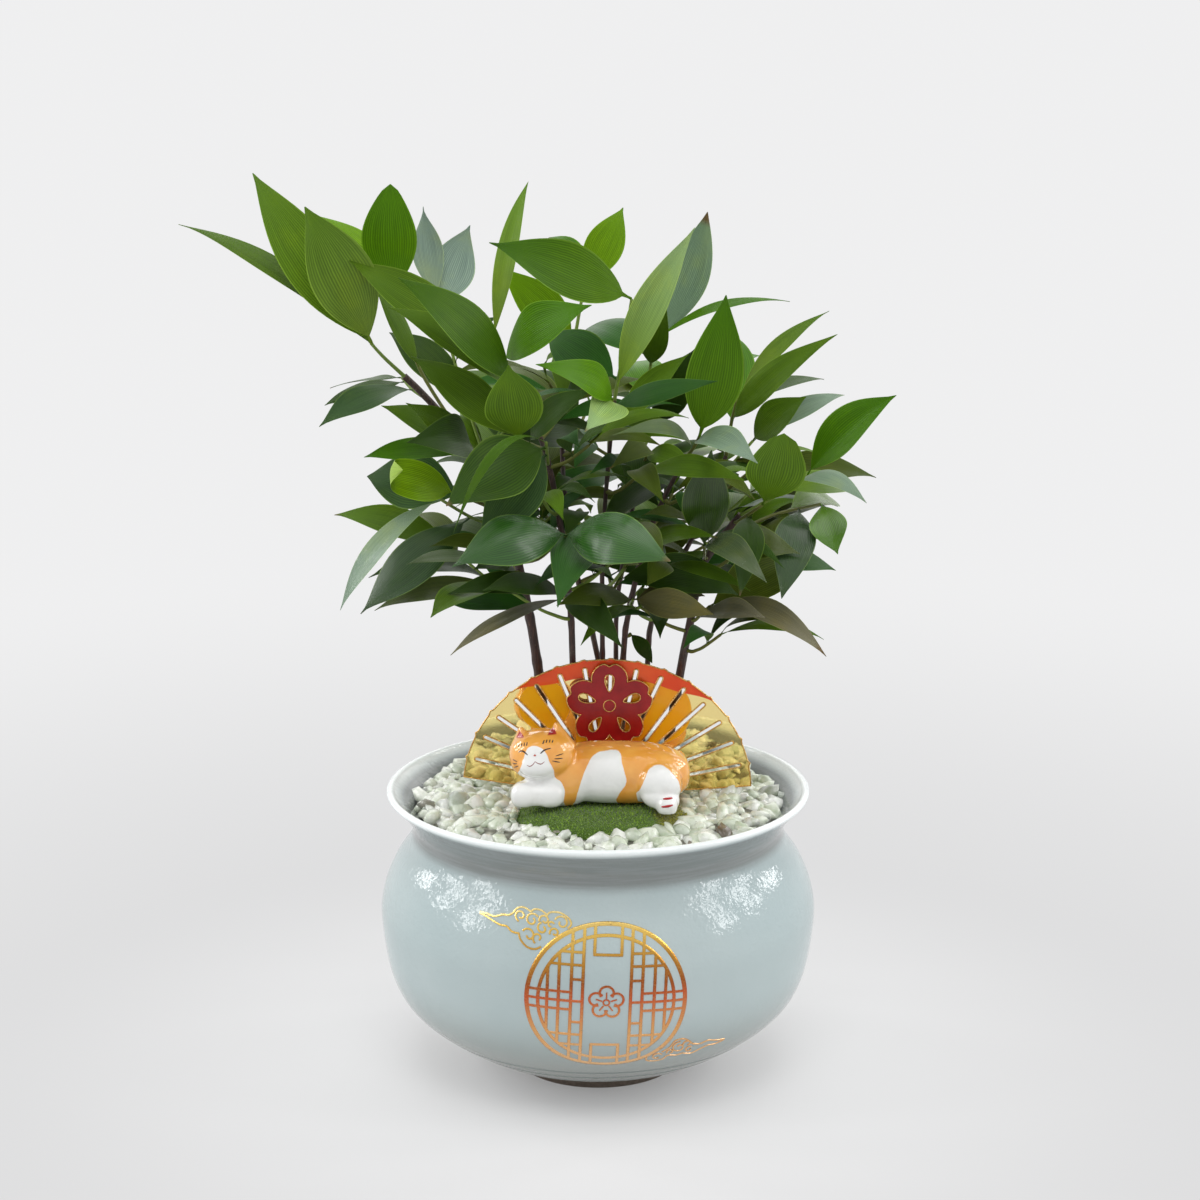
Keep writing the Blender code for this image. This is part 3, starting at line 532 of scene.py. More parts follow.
# Each stem: radius in mm and the route of its middle in mm, from the root to where it ends.
STEMS = {
    1: (2.1, [(-21, 9, 85), (-21, 9, 127), (-26, 10, 176), (-32, 8, 214), (-40, 5, 246), (-54, -5, 278),
              (-71, -14, 301), (-81, -18, 312)]),
    2: (1.5, [(-10, 1, 85), (-10, 1, 127), (-11, 0, 184), (-12, -3, 210), (-15, -10, 240),
              (-22, -20, 281), (-33, -24, 306)]),
    3: (1.3, [(2, 17, 85), (2, 17, 127), (0, 16, 181), (-6, 18, 204), (-13, 26, 237), (-16, 34, 280),
              (-11, 36, 315)]),
    4: (1.2, [(3, 5, 85), (3, 5, 127), (2, 5, 184), (2, 4, 205), (2, 0, 238), (5, -8, 279), (7, -12, 301)]),
    5: (1.2, [(9, 29, 85), (9, 29, 127), (8, 28, 179), (9, 30, 208), (16, 34, 249), (21, 34, 293)]),
    6: (1.4, [(11, 12, 85), (11, 12, 127), (11, 10, 182), (14, 5, 208), (22, -8, 244), (36, -18, 276)]),
    7: (1.3, [(19, 23, 85), (19, 23, 127), (22, 22, 177), (25, 24, 202), (41, 26, 232), (56, 26, 270)]),
    8: (2.1, [(29, 9, 85), (29, 9, 127), (36, 8, 176), (40, 5, 199), (46, -2, 229), (61, -10, 251)]),
}


def metres(places):
    """Points from places given in mm."""
    return [Vector(p) * MM for p in places]


def stem_route(number):
    return smooth_route(metres(STEMS[number][1]), 2)


def point_along(points, share):
    """The point at this share of a polyline's length."""
    spans = [(b - a).length for a, b in zip(points, points[1:])]
    left = share * sum(spans)
    for a, b, span in zip(points, points[1:], spans):
        if left <= span:
            return a.lerp(b, left / span)
        left -= span
    return points[-1].copy()


def new_tree(name, sizes):
    """An empty geometry tree with a named input for each size; returns it and its inputs."""
    tree = bpy.data.node_groups.new(name, "GeometryNodeTree")
    for key, kind in {"Geometry": "Geometry", **sizes}.items():
        tree.interface.new_socket(key, in_out="INPUT", socket_type="NodeSocket" + kind)
    tree.interface.new_socket("Geometry", in_out="OUTPUT", socket_type="NodeSocketGeometry")
    ends = tree.nodes.new("NodeGroupInput").outputs
    return tree, {key: Field(ends[key]) for key in ("Geometry", *sizes)}


def ended(tree, shape, material):
    """Ends a tree with plain faces of this material."""
    solid = put(tree, "GeometryNodeRealizeInstances", {"Geometry": shape})
    painted = put(tree, "GeometryNodeSetMaterial", {"Geometry": solid, "Material": material})
    tree.links.new(painted.socket, tree.nodes.new("NodeGroupOutput").inputs[0])
    return tree


def baked(carrier, name):
    """The plain mesh that an object's modifiers make of it; the object is taken away."""
    mesh = bpy.data.meshes.new_from_object(carrier.evaluated_get(bpy.context.evaluated_depsgraph_get()))
    mesh.name = name
    carrier.modifiers.clear()
    bpy.data.objects.remove(carrier)
    return mesh


def carrier_of(shape, name):
    """An object that is there only to be baked."""
    carrier = bpy.data.objects.new(name + "_source", shape)
    bpy.context.scene.collection.objects.link(carrier)
    return carrier


def grow(tree, source, name, values):
    """Runs the tree on a mesh with these values and returns the plain mesh that it makes."""
    carrier = carrier_of(source, name)
    modifier = carrier.modifiers.new(tree.name, "NODES")
    modifier.node_group = tree
    for item in tree.interface.items_tree:
        if item.in_out == "INPUT" and item.name in values:
            modifier[item.identifier] = values[item.name]
    return baked(carrier, name)


def stem_tree():
    """Skins a line of points: the point attribute girth is the radius at each."""
    tree, given = new_tree("skin_a_stem", {"Sides": "Int", "Bark": "Material"})
    line = put(tree, "GeometryNodeMeshToCurve", {"Mesh": given["Geometry"]})
    girth = put(tree, "GeometryNodeInputNamedAttribute", {"Name": "girth"}, "Attribute", data_type="FLOAT")
    ring = put(tree, "GeometryNodeCurvePrimitiveCircle", {"Resolution": given["Sides"], "Radius": 1.0})
    tube = put(tree, "GeometryNodeCurveToMesh", {"Curve": line, "Profile Curve": ring, "Scale": girth,
                                                 "Fill Caps": True})
    return ended(tree, put(tree, "GeometryNodeSetShadeSmooth", {"Geometry": tube}), given["Bark"])


def line_mesh(name, points, girths):
    """A bare line of points that carries a radius at each."""
    mesh = bpy.data.meshes.new(name)
    mesh.from_pydata([tuple(p) for p in points], [(i, i + 1) for i in range(len(points) - 1)], [])
    mesh.attributes.new("girth", "FLOAT", "POINT").data.foreach_set("value", girths)
    return mesh


def dark_red_bark():
    bark = Finish("dark_red_bark")
    cracks = speckle(stretched(bark.place, (1, 1, 0.16)), 900, 6, 0.65)
    body = ramp(cracks, {0.32: (0.016, 0.009, 0.008), 0.55: (0.055, 0.026, 0.021),
                         0.75: (0.115, 0.062, 0.048)})
    grey = ramp(cracks, {0.3: (0.03, 0.026, 0.022), 0.7: (0.12, 0.105, 0.088)})
    body = blend(between(speckle(bark.place, 60), 0.5, 0.72), body, grey)
    wart = between(cells(bark.place, 420), 0.2, 0.06)
    body = blend(wart * 0.45, body, (0.20, 0.15, 0.11))
    return bark.made(body, cracks + wart * 0.4, 0.0005, Roughness=cracks * 0.3 + 0.42)


bark = dark_red_bark()
skin_a_stem = stem_tree()
for number, (radius, _) in STEMS.items():
    route = stem_route(number)
    count = round(sum((b - a).length for a, b in zip(route, route[1:])) / STEM_STEP)
    points = [point_along(route, i / count) for i in range(count + 1)]
    chance = random.Random(number)
    scars = [chance.uniform(0.3, 1) for _ in range(STEM_SCARS)]
    girths = []
    for i, point in enumerate(points):
        share = i / count
        swell = sum(0.16 * math.exp(-((share - scar) * count / 1.6) ** 2) for scar in scars)
        uneven = 0.07 * noise.noise(point * 90 + Vector((number, 0, 0)))
        girths.append(radius * (1 - STEM_TAPER * share) * MM * (BARK_GROWTH + swell + uneven))
    name = f"stem_{number}_bark"
    mesh = grow(skin_a_stem, line_mesh(name, points, girths), name, {"Sides": BARK_SIDES, "Bark": bark})
    add_piece(name, mesh, None, "bark", f"stem_{number}")


# ---------------------------------------------------------------- the foliage
# Thin leathery leaves on short green twigs, in pairs and ends of shoots: lance-shaped, with many fine
# veins side by side and no midrib, glossy above and paler below. Every shoot and leaf grows where
# its solid does, and a few more leaves fill the shade inside.

GAP = 0.3 * MM
TWIG_RADIUS = 0.9 * MM
BLADE_THICKNESS = 0.9 * MM
ROOM = 1 * MM
PETIOLE = 0.06
LEAF_STATIONS = (0, 0.05, 0.19, 0.39, 0.61, 0.82, 1)
BLADE_START = 0.2
FILLING_SEED = 11
INNER_SEED = 12
LEAF_ROWS = 22
LEAF_COLUMNS = 8
LEAF_THICKNESS = 0.32 * MM

# Each tone of leaf: its colour near the stalk, near the tip and on the underside; some hold painted light or
# shade, as marked.
TONES = {
    # This tone is the leaf's green with painted light shining through it.
    "bright": ((0.125, 0.245, 0.003), (0.105, 0.225, 0.004), (0.19, 0.31, 0.04)),
    "lime": ((0.170, 0.300, 0.004), (0.125, 0.250, 0.004), (0.26, 0.38, 0.07)),
    "leafy": ((0.100, 0.240, 0.003), (0.060, 0.165, 0.003), (0.11, 0.20, 0.015)),
    "green": ((0.062, 0.160, 0.002), (0.048, 0.145, 0.002), (0.11, 0.20, 0.015)),
    # Painted shadow: this tone darkens towards the tip, where a shadow falls across the blade.
    "shadow": ((0.080, 0.172, 0.003), (0.040, 0.116, 0.002), (0.11, 0.20, 0.015)),
    "forest": ((0.040, 0.096, 0.003), (0.035, 0.086, 0.003), (0.08, 0.14, 0.015)),
    # Painted sheen: this tone is paler near the stalk.
    "frosted": ((0.150, 0.235, 0.032), (0.078, 0.160, 0.012), (0.11, 0.19, 0.025)),
    "mid": ((0.078, 0.148, 0.007), (0.066, 0.134, 0.008), (0.11, 0.19, 0.025)),
    "olive": ((0.056, 0.080, 0.006), (0.048, 0.074, 0.007), (0.075, 0.095, 0.014)),
    "dark": ((0.027, 0.062, 0.005), (0.025, 0.058, 0.007), (0.044, 0.078, 0.012)),
    "deep": ((0.018, 0.078, 0.006), (0.026, 0.085, 0.014), (0.055, 0.105, 0.025)),
    "teal": ((0.026, 0.062, 0.014), (0.036, 0.076, 0.026), (0.07, 0.11, 0.04)),
    "sage": ((0.085, 0.125, 0.060), (0.075, 0.112, 0.045), (0.165, 0.255, 0.165)),
    # This tone is a waxy bloom, with a painted sheen that makes it paler towards the tip.
    "waxy": ((0.115, 0.185, 0.095), (0.200, 0.280, 0.215), (0.215, 0.295, 0.25)),
    # Painted light: this tone holds light shining through the leaf and a painted sheen, pale towards the
    # tip.
    "fresh": ((0.200, 0.340, 0.012), (0.25, 0.37, 0.17), (0.30, 0.43, 0.20)),
    "bronze": ((0.085, 0.082, 0.028), (0.100, 0.092, 0.036), (0.13, 0.12, 0.06)),
    "brown": ((0.055, 0.060, 0.018), (0.200, 0.185, 0.120), (0.22, 0.20, 0.14)),
}
TWIG_TONES = ((0.055, 0.085, 0.025), (0.050, 0.032, 0.022))
GLOSSY = ("shoot_2_pair", "shoot_1_low", "shoot_8_hanging", "shoot_8_middle")
DRY = (0.14, 0.095, 0.045)
DRY_CHANCE = 0.1
CURL_START = 0.7
VEINS = 23
ROW_SPREAD = 1.12                           # rows of a blade lie closer at its stalk

# Each shoot: its stem, the route of its twig in mm, and its leaves. A leaf is how far along the twig
# it grows, where its tip is, its width, how far its upper face turns from the sky (0) towards the
# front (90), how high it arches, and its tone.
SHOOTS = {
    "shoot_1_crown": (1, [(-81, -18, 312), (-89, -20, 320), (-94, -22, 326)], [
        (0.7, (-177, 10, 374), 16, 25, 8, "mid"), (0.9, (-144, -2, 396), 24, 70, 5, "mid"),
        (1.0, (-119, -36, 384), 27, 84, 5, "frosted")]),
    "shoot_1_upper": (1, [(-54, -5, 278), (-76, 3, 312), (-87, 6, 345)], [
        (1.0, (-122, 26, 376), 20, 40, 1, "bright"), (0.95, (-87, 2, 390), 27, 88, 3, "leafy"),
        (0.5, (-93, -14, 350), 11, 50, 2, "mid")]),
    "shoot_1_back": (1, [(-40, 5, 246), (-58, 30, 295), (-70, 42, 336)], [
        (1.0, (-76, 50, 376), 14, -80, 3, "waxy"), (0.97, (-57, 56, 366), 20, -80, 3, "waxy"),
        (0.7, (-44, 34, 330), 13, 40, 4, "dark"), (0.5, (-92, 50, 322), 18, 45, 6, "dark")]),
    "shoot_1_left": (1, [(-71, -14, 301), (-79, -2, 304), (-84, 10, 307)], [
        (1.0, (-117, 30, 300), 12, 5, 1, "dark"), (0.8, (-116, -6, 299), 13, 15, 2, "dark"),
        (0.4, (-115, -38, 295), 16, 22, 6, "teal")]),
    "shoot_1_middle": (1, [(-52, -4, 274), (-53, -20, 282)], [
        (1.0, (-78, -50, 306), 17, 60, 4, "mid"), (0.9, (-75, -70, 294), 19, 50, 6, "dark"),
        (0.5, (-98, -24, 279), 19, 40, 3, "green"), (0.3, (-89, -38, 303), 14, 50, 4, "mid")]),
    "shoot_1_curled": (1, [(-42, 4, 250), (-60, -24, 263)], [
        (1.0, (-88, -62, 286), 24, 62, 6, "lime"), (0.8, (-99, 0, 266), 26, 60, 2, "teal")]),
    "shoot_1_low": (1, [(-38, 6, 240), (-54, -10, 250), (-66, -30, 262)], [
        (1.0, (-107, -50, 219), 14, 35, 9, "waxy"), (0.45, (-101, -26, 212), 25, 62, 5, "teal")]),
    "shoot_1_base": (1, [(-32, 8, 214), (-38, 22, 224)], [
        (1.0, (-72, 62, 232), 16, 30, 6, "sage"), (0.7, (-20, 66, 226), 15, 30, 8, "dark")]),
    "shoot_2_crown": (2, [(-33, -24, 306), (-39, -28, 320), (-43, -30, 328)], [
        (1.0, (-30, -10, 393), 12, 25, 10, "frosted"), (0.6, (-3, -64, 348), 21, 55, 7, "green"),
        (0.9, (-101, -36, 363), 20, 52, 2, "mid")]),
    "shoot_2_left": (2, [(-28, -22, 298), (-34, -46, 312)], [
        (1.0, (-78, -72, 360), 21, 55, 6, "forest"), (0.5, (-83, -54, 347), 15, 50, 6, "mid")]),
    "shoot_2_front": (2, [(-22, -20, 281), (-32, -46, 290)], [
        (1.0, (-36, -60, 323), 24, 84, 4, "mid"), (0.8, (-78, -76, 314), 23, 66, 5, "mid"),
        (0.6, (-2, -78, 314), 13, 55, 5, "dark")]),
    "shoot_2_arching": (2, [(-21, -18, 274), (-21, -58, 291)], [
        (1.0, (-57, -100, 263), 12, -50, 15, "forest"), (0.8, (-60, -86, 272), 26, 72, 4, "dark"),
        (0.5, (-48, -66, 252), 22, 70, 4, "teal")]),
    "shoot_2_pair": (2, [(-15, -10, 240), (-13, -56, 252)], [
        (1.0, (-58, -92, 247), 26, 52, 7, "deep"), (1.0, (28, -96, 251), 27, 52, 7, "deep")]),
    "shoot_2_base": (2, [(-12, -3, 208), (-15, -24, 220)], [
        (1.0, (-62, -54, 228), 15, 30, 6, "dark"), (0.8, (-46, -86, 236), 14, 35, 6, "dark"),
        (0.9, (9, -72, 210), 14, 45, 6, "dark"), (0.6, (-61, -60, 204), 12, 5, 5, "brown")]),
    "shoot_3_crown": (3, [(-11, 36, 315), (-8, 38, 332), (-6, 38, 342)], [
        (1.0, (11, 50, 376), 17, 78, 3, "bright"), (0.1, (-42, 22, 353), 18, 80, 4, "bright"),
        (0.8, (-22, 80, 360), 18, 40, 6, "green")]),
    "shoot_3_left": (3, [(-13, 26, 237), (-26, 2, 229), (-42, -20, 232)], [
        (1.0, (-79, -46, 239), 13, 12, 3, "sage"), (0.9, (-49, -70, 234), 14, 35, 4, "dark")]),
    "shoot_4_crown": (4, [(7, -12, 301), (11, -20, 325), (14, -22, 345)], [
        (1.0, (-43, -50, 373), 27, 66, 6, "shadow"), (0.1, (39, -40, 376), 22, 75, 6, "fresh"),
        (0.2, (-22, 10, 327), 21, 62, 4, "deep")]),
    "shoot_4_front": (4, [(6, -10, 290), (6, -38, 305)], [
        (1.0, (-22, -76, 328), 19, 58, 7, "leafy"), (0.9, (-8, -94, 300), 20, 55, 6, "fresh"),
        (0.7, (46, -66, 314), 18, 55, 6, "deep")]),
    "shoot_5_crown": (5, [(21, 34, 293), (23, 29, 310), (24, 27, 320)], [
        (0.9, (47, 28, 376), 23, -80, 4, "sage"), (1.0, (83, 40, 338), 12, 20, 5, "green"),
        (0.6, (29, -2, 343), 12, 70, 5, "mid"), (0.7, (-6, 76, 320), 20, 30, 7, "deep")]),
    "shoot_5_back": (5, [(18, 34, 268), (30, 60, 286)], [
        (1.0, (74, 88, 306), 21, 25, 7, "green"), (0.9, (16, 108, 300), 20, 20, 8, "green"),
        (0.6, (42, 20, 318), 18, 70, 4, "dark")]),
    "shoot_6_crown": (6, [(36, -18, 276), (40, -30, 284), (42, -38, 290)], [
        (1.0, (52, -46, 349), 27, 86, 3, "shadow"), (0.7, (63, -90, 289), 15, 30, 8, "waxy"),
        (0.5, (8, -84, 300), 17, 45, 8, "sage")]),
    "shoot_6_low": (6, [(14, 5, 208), (15, -22, 217)], [
        (1.0, (46, -68, 222), 13, 62, 0, "bronze"), (0.8, (46, -12, 217), 13, 30, 3, "bronze"),
        (0.6, (-16, -52, 226), 14, 32, 6, "olive")]),
    "shoot_7_crown": (7, [(56, 26, 270), (58, 18, 287), (60, 13, 297)], [
        (1.0, (99, 18, 335), 13, 42, 5, "frosted"), (0.6, (92, -22, 329), 17, 60, 7, "mid"),
        (0.9, (100, 46, 302), 10, 18, 3, "dark"), (0.5, (58, 78, 318), 21, 30, 6, "green")]),
    "shoot_7_right": (7, [(50, 26, 256), (68, 30, 276)], [
        (1.0, (89, 8, 299), 16, 60, 4, "mid"), (0.9, (110, 56, 293), 17, 35, 6, "waxy")]),
    "shoot_8_crown": (8, [(61, -10, 251), (77, -18, 262), (88, -24, 271)], [
        (1.0, (122, -42, 308), 20, 52, 5, "green"), (0.8, (109, -60, 268), 10, 25, 7, "waxy"),
        (0.6, (110, 10, 258), 14, 35, 5, "mid")]),
    "shoot_8_front": (8, [(56, -7, 245), (69, -28, 259)], [
        (1.0, (76, -52, 293), 25, 88, 3, "mid"), (0.4, (58, -70, 231), 14, 60, 6, "dark")]),
    "shoot_8_hanging": (8, [(53, -6, 240), (76, -4, 250), (95, -11, 256)], [
        (1.0, (100, -38, 241), 16, 75, 2, "leafy"), (0.6, (104, 36, 246), 18, 25, 8, "mid"),
        (0.75, (77, -44, 224), 18, 66, 6, "teal")]),
    "shoot_8_middle": (8, [(46, -2, 229), (45, -26, 241)], [
        (1.0, (47, -40, 284), 20, 88, 3, "dark"), (0.9, (68, -80, 238), 13, 35, 9, "sage"),
        (0.6, (84, -30, 241), 18, 45, 6, "olive")]),
    "shoot_8_low": (8, [(40, 5, 199), (48, -10, 211)], [
        (1.0, (97, -30, 195), 18, 40, 17, "brown"), (0.25, (69, -58, 218), 14, 30, 4, "brown"),
        (0.8, (92, 16, 227), 22, 60, 5, "olive")]),
}


# Shoots that fill the shaded middle and the back: stem, place along it, heading in degrees (0 is +X,
# 90 is the back) and length in mm. Their leaves grow in opposite pairs.
FILLING = [
    (1, 0.50, 150, 34), (1, 0.62, 80, 40), (2, 0.52, 215, 30), (2, 0.66, 330, 26), (3, 0.62, 120, 38),
    (3, 0.80, 70, 34), (4, 0.60, 290, 26), (4, 0.75, 20, 26), (5, 0.55, 100, 40), (7, 0.60, 75, 38),
    (7, 0.80, 30, 28), (8, 0.75, 50, 32), (5, 0.85, 160, 34),
]
LEAF_LENGTH = (48, 64)
LEAF_WIDTH = (16, 22)

# Leaves whose blade bends in its own way.
HABITS = {
    ("shoot_1_upper", 1): {"bulge": 1.0, "drip": -0.35, "fold": 0.0, "cup": 0.05, "width": 23.5},
    ("shoot_1_crown", 0): {"width": 13},
    ("shoot_1_crown", 2): {"bulge": 0.95, "fold": 0.05},
    ("shoot_1_back", 0): {"drip": 0.7, "twist": 0.3, "sway": 0.05},
    ("shoot_1_middle", 0): {"width": 12},
    ("shoot_1_middle", 2): {"width": 13},
    ("shoot_1_curled", 0): {"curl": 6.5, "cup": 0.2, "fold": 0.0, "bulge": 1.05, "drip": -0.3, "width": 17,
                             "move": (-9, 0, -5)},
    ("shoot_1_low", 0): {"width": 10.5, "arch": 11},
    ("shoot_1_low", 1): {"width": 20, "drip": 0.6},
    ("shoot_2_crown", 0): {"width": 9.5, "sway": 0.04},
    ("shoot_2_front", 1): {"width": 17, "move": (2, 22, 10)},
    ("shoot_2_arching", 0): {"width": 4.6, "turn": 22, "arch": 21, "fold": 0.25, "twist": 0.5},
    ("shoot_2_pair", 0): {"cup": -0.3, "fold": 0.0, "width": 23, "arch": 11, "dry_from": 2},
    ("shoot_2_pair", 1): {"cup": -0.3, "fold": 0.0, "width": 24, "arch": 11, "dry_from": 0.97},
    ("shoot_3_crown", 0): {"fold": 0.0, "cup": 0.05},
    ("shoot_4_crown", 0): {"bulge": 0.74, "fold": 0.0, "cup": 0.1, "arch": -1, "width": 23,
                           "move": (0, 0, -1.5)},
    ("shoot_4_crown", 1): {"fold": 0.35, "bulge": 0.95, "width": 14.5},
    ("shoot_4_front", 0): {"width": 14},
    ("shoot_4_front", 1): {"fold": 0.4, "width": 17, "move": (3.5, 0, 6)},
    ("shoot_4_front", 2): {"width": 10, "move": (1, 0, 4)},
    ("shoot_5_crown", 0): {"bulge": 1.0, "width": 18, "sway": -0.07, "dry_from": 0.94},
    ("shoot_5_crown", 1): {"width": 7.5, "arch": 7},
    ("shoot_6_crown", 2): {"width": 8},
    ("shoot_6_crown", 0): {"bulge": 0.78, "fold": 0.0, "cup": 0.06, "width": 23.5},
    ("shoot_7_crown", 0): {"width": 8.5, "drip": 0.4},
    ("shoot_7_crown", 1): {"droop": 0.16, "fold": 0.16, "width": 13},
    ("shoot_7_right", 1): {"width": 11},
    ("shoot_8_crown", 0): {"fold": 0.55, "bulge": 0.95},
    ("shoot_8_front", 0): {"fold": 0.0, "bulge": 1.25, "drip": -0.55},
    ("shoot_8_low", 0): {"width": 12, "arch": 12, "dry_from": 0.94},
}

# Small dark shoots in the shade inside, given in the same way.
INNER = [
    (1, 0.56, 250, 20), (1, 0.62, 20, 20), (1, 0.66, 330, 22), (1, 0.72, 100, 20), (1, 0.80, 40, 20),
    (2, 0.58, 20, 20), (2, 0.66, 120, 20), (2, 0.74, 250, 20), (2, 0.84, 340, 18), (2, 0.90, 60, 18),
    (3, 0.56, 10, 20), (3, 0.62, 250, 22), (3, 0.70, 190, 22), (3, 0.80, 330, 20), (3, 0.90, 250, 20),
    (4, 0.57, 60, 20), (4, 0.64, 180, 18), (4, 0.72, 200, 22), (4, 0.80, 320, 18), (4, 0.88, 90, 18),
    (5, 0.56, 300, 22), (5, 0.66, 220, 22), (5, 0.74, 10, 24), (5, 0.84, 280, 22), (5, 0.92, 60, 20),
    (6, 0.60, 30, 22), (6, 0.68, 300, 20), (6, 0.74, 160, 20), (6, 0.82, 60, 20), (6, 0.88, 330, 20),
    (7, 0.58, 240, 22), (7, 0.66, 300, 22), (7, 0.74, 20, 22), (7, 0.84, 210, 20), (7, 0.90, 320, 20),
    (8, 0.58, 330, 18), (8, 0.64, 200, 22), (8, 0.72, 120, 22), (8, 0.80, 20, 22), (8, 0.88, 250, 22),
]
# Two more leaves in the shade, given like the shoots above.
SHADED = {
    "shoot_4_lance": (4, [(5.5, -9, 284), (9, -15, 289)], [(1.0, (38, -22, 322), 12, 60, 4, "mid")]),
    "shoot_6_under": (6, [(13, 8, 200), (14, 10, 194)], [(1.0, (24, 8, 181), 7, 60, 2, "dark")]),
}
INNER_LENGTH = (28, 46)
INNER_WIDTH = (8, 12.5)


def blade_width(share):
    """A leaf's half width, as a share of its greatest: a thin stalk, then widest at two fifths."""
    if share < PETIOLE:
        return 0.07
    return max(0.07, math.sin(math.pi * ((share - PETIOLE) / (1 - PETIOLE)) ** 0.8))


def leaf_axes(base, tip, turn):
    """The leaf's long way, and the way its upper face looks."""
    along = (tip - base).normalized()
    up = (Vector((0, 0, 1)) - along * along.z).normalized()
    front = (Vector((0, -1, 0)) + along * along.y).normalized()
    angle = math.radians(turn)
    return along, (up * math.cos(angle) + front * math.sin(angle)).normalized()


def leaf_solid(base, tip, width, turn, arch, thickness, start=0.0):
    """A thin arched lens from base to tip, or the stretch of it from start on."""
    along, face = leaf_axes(base, tip, turn)
    across = along.cross(face)
    rings = len(LEAF_STATIONS) - 1
    bm = bmesh.new()
    bmesh.ops.create_uvsphere(bm, u_segments=4, v_segments=rings, radius=1)
    for vert in bm.verts:
        ring = round(rings * math.acos(max(-1.0, min(1.0, vert.co.z))) / math.pi)
        share = start + (1 - start) * LEAF_STATIONS[ring]
        middle = base + (tip - base) * share + face * arch * 4 * share * (1 - share)
        if ring in (0, rings):
            vert.co = middle - along * (TWIG_RADIUS * 0.7 if share == 0 else 0)
            continue
        around = math.hypot(vert.co.x, vert.co.y)
        half = blade_width(share) * width / 2 * vert.co.x / around
        vert.co = middle + across * half + face * thickness / 2 * vert.co.y / around
    outward(bm)
    return bm


def prism(points, radius):
    """A six-sided rod along the points, to test what comes near it."""
    bm = bmesh.new()
    rings = []
    for i, place in enumerate(points):
        way = (points[min(i + 1, len(points) - 1)] - points[max(i - 1, 0)]).normalized()
        side = way.cross(Vector((0, 1, 0.3))).normalized()
        other = way.cross(side)
        rings.append([bm.verts.new(place + (side * math.cos(a) + other * math.sin(a)) * radius)
                      for a in [math.radians(60 * k) for k in range(6)]])
    for low, high in zip(rings, rings[1:]):
        skin(bm, low, high)
    return bm


class Crowd:
    """What has been placed so far, so that a new leaf can be swung clear of it."""

    def __init__(self):
        self.members = []

    def add(self, bm, owner, kind):
        low, high = limits(bm)
        self.members.append((BVHTree.FromBMesh(bm), low, high, owner, kind))
        bm.free()

    def is_clear(self, bm, owner, kind):
        """Whole leaves are tried against other shoots, and blades against their own shoot's."""
        low, high = limits(bm)
        tree = BVHTree.FromBMesh(bm)
        bm.free()
        for other, other_low, other_high, other_owner, other_kind in self.members:
            if (owner == other_owner) != (kind == "blade") or (kind == "blade") != (other_kind == "blade"):
                continue
            apart = any(low[k] > other_high[k] or high[k] < other_low[k] for k in range(3))
            if not apart and tree.overlap(other):
                return False
        return True


def limits(bm):
    places = [v.co for v in bm.verts]
    return ([min(p[k] for p in places) for k in range(3)], [max(p[k] for p in places) for k in range(3)])


# How a leaf's tip may be moved to clear its neighbours, in mm: back and forth first, then up and down.
SWINGS = [(0, y, z) for z in (0, 7, -7, 13) for y in (0, -7, 7, -14, 14, -21, 21, -28, 28)]


def settle(crowd, owner, base, leaf):
    """The leaf's tip, swung until the leaf clears what is already there, or None."""
    tip, width, turn, arch = leaf
    for swing in SWINGS:
        place = tip + Vector(swing) * MM
        shape = (base, place, width + ROOM, turn, arch, BLADE_THICKNESS + ROOM)
        if (crowd.is_clear(leaf_solid(*shape), owner, "whole")
                and crowd.is_clear(leaf_solid(*shape, start=BLADE_START), owner, "blade")):
            crowd.add(leaf_solid(*shape), owner, "whole")
            crowd.add(leaf_solid(*shape, start=BLADE_START), owner, "blade")
            return place
    return None


def twig_route(number, places):
    """A twig's middle: it starts clear of its stem's side or end."""
    route, stem = metres(places), metres(STEMS[number][1])
    way = (route[1] - route[0]).normalized()
    if (route[0] - stem[-1]).length < 1 * MM:
        route[0] = route[0] + way * 2 * GAP
        return smooth_route(route, 2)
    spans = list(zip(stem, stem[1:]))
    start, end = min(spans, key=lambda s: ((s[0] + s[1]) / 2 - route[0]).length)
    slant = max(0.35, way.cross((end - start).normalized()).length)
    route[0] = route[0] + way * (STEMS[number][0] * MM + TWIG_RADIUS + GAP) / slant
    return smooth_route(route, 2)


def filling_shoots(rows, label, seed, lengths, widths):
    """Shoots with opposite leaves, by rule."""
    chance = random.Random(seed)
    shoots = {}
    for index, (number, share, heading, length) in enumerate(rows, start=1):
        stem = [Vector(p) for p in STEMS[number][1]]
        start = point_along(stem, share)
        angle = math.radians(heading)
        way = Vector((math.cos(angle), math.sin(angle), 0.45))
        twig = [start, start + way * length * 0.5, start + way * length + Vector((0, 0, 3))]
        leaves = []
        for along, spread in ((0.5, 65), (0.5, -65), (1.0, 35), (1.0, -35)):
            turned_by = math.radians(heading + spread + chance.uniform(-12, 12))
            rise = chance.uniform(-0.15, 0.45)
            size = chance.uniform(*lengths)
            reach = Vector((math.cos(turned_by), math.sin(turned_by), rise)).normalized() * size
            tip = point_along(twig, along) + reach
            leaves.append((along, tuple(tip), chance.uniform(*widths), chance.uniform(0, 40),
                           chance.uniform(4, 9), ("dark", "deep", "mid", "olive")[len(leaves)]))
        shoots[f"shoot_{number}_{label}_{index}"] = (number, [tuple(p) for p in twig], leaves)
    return shoots


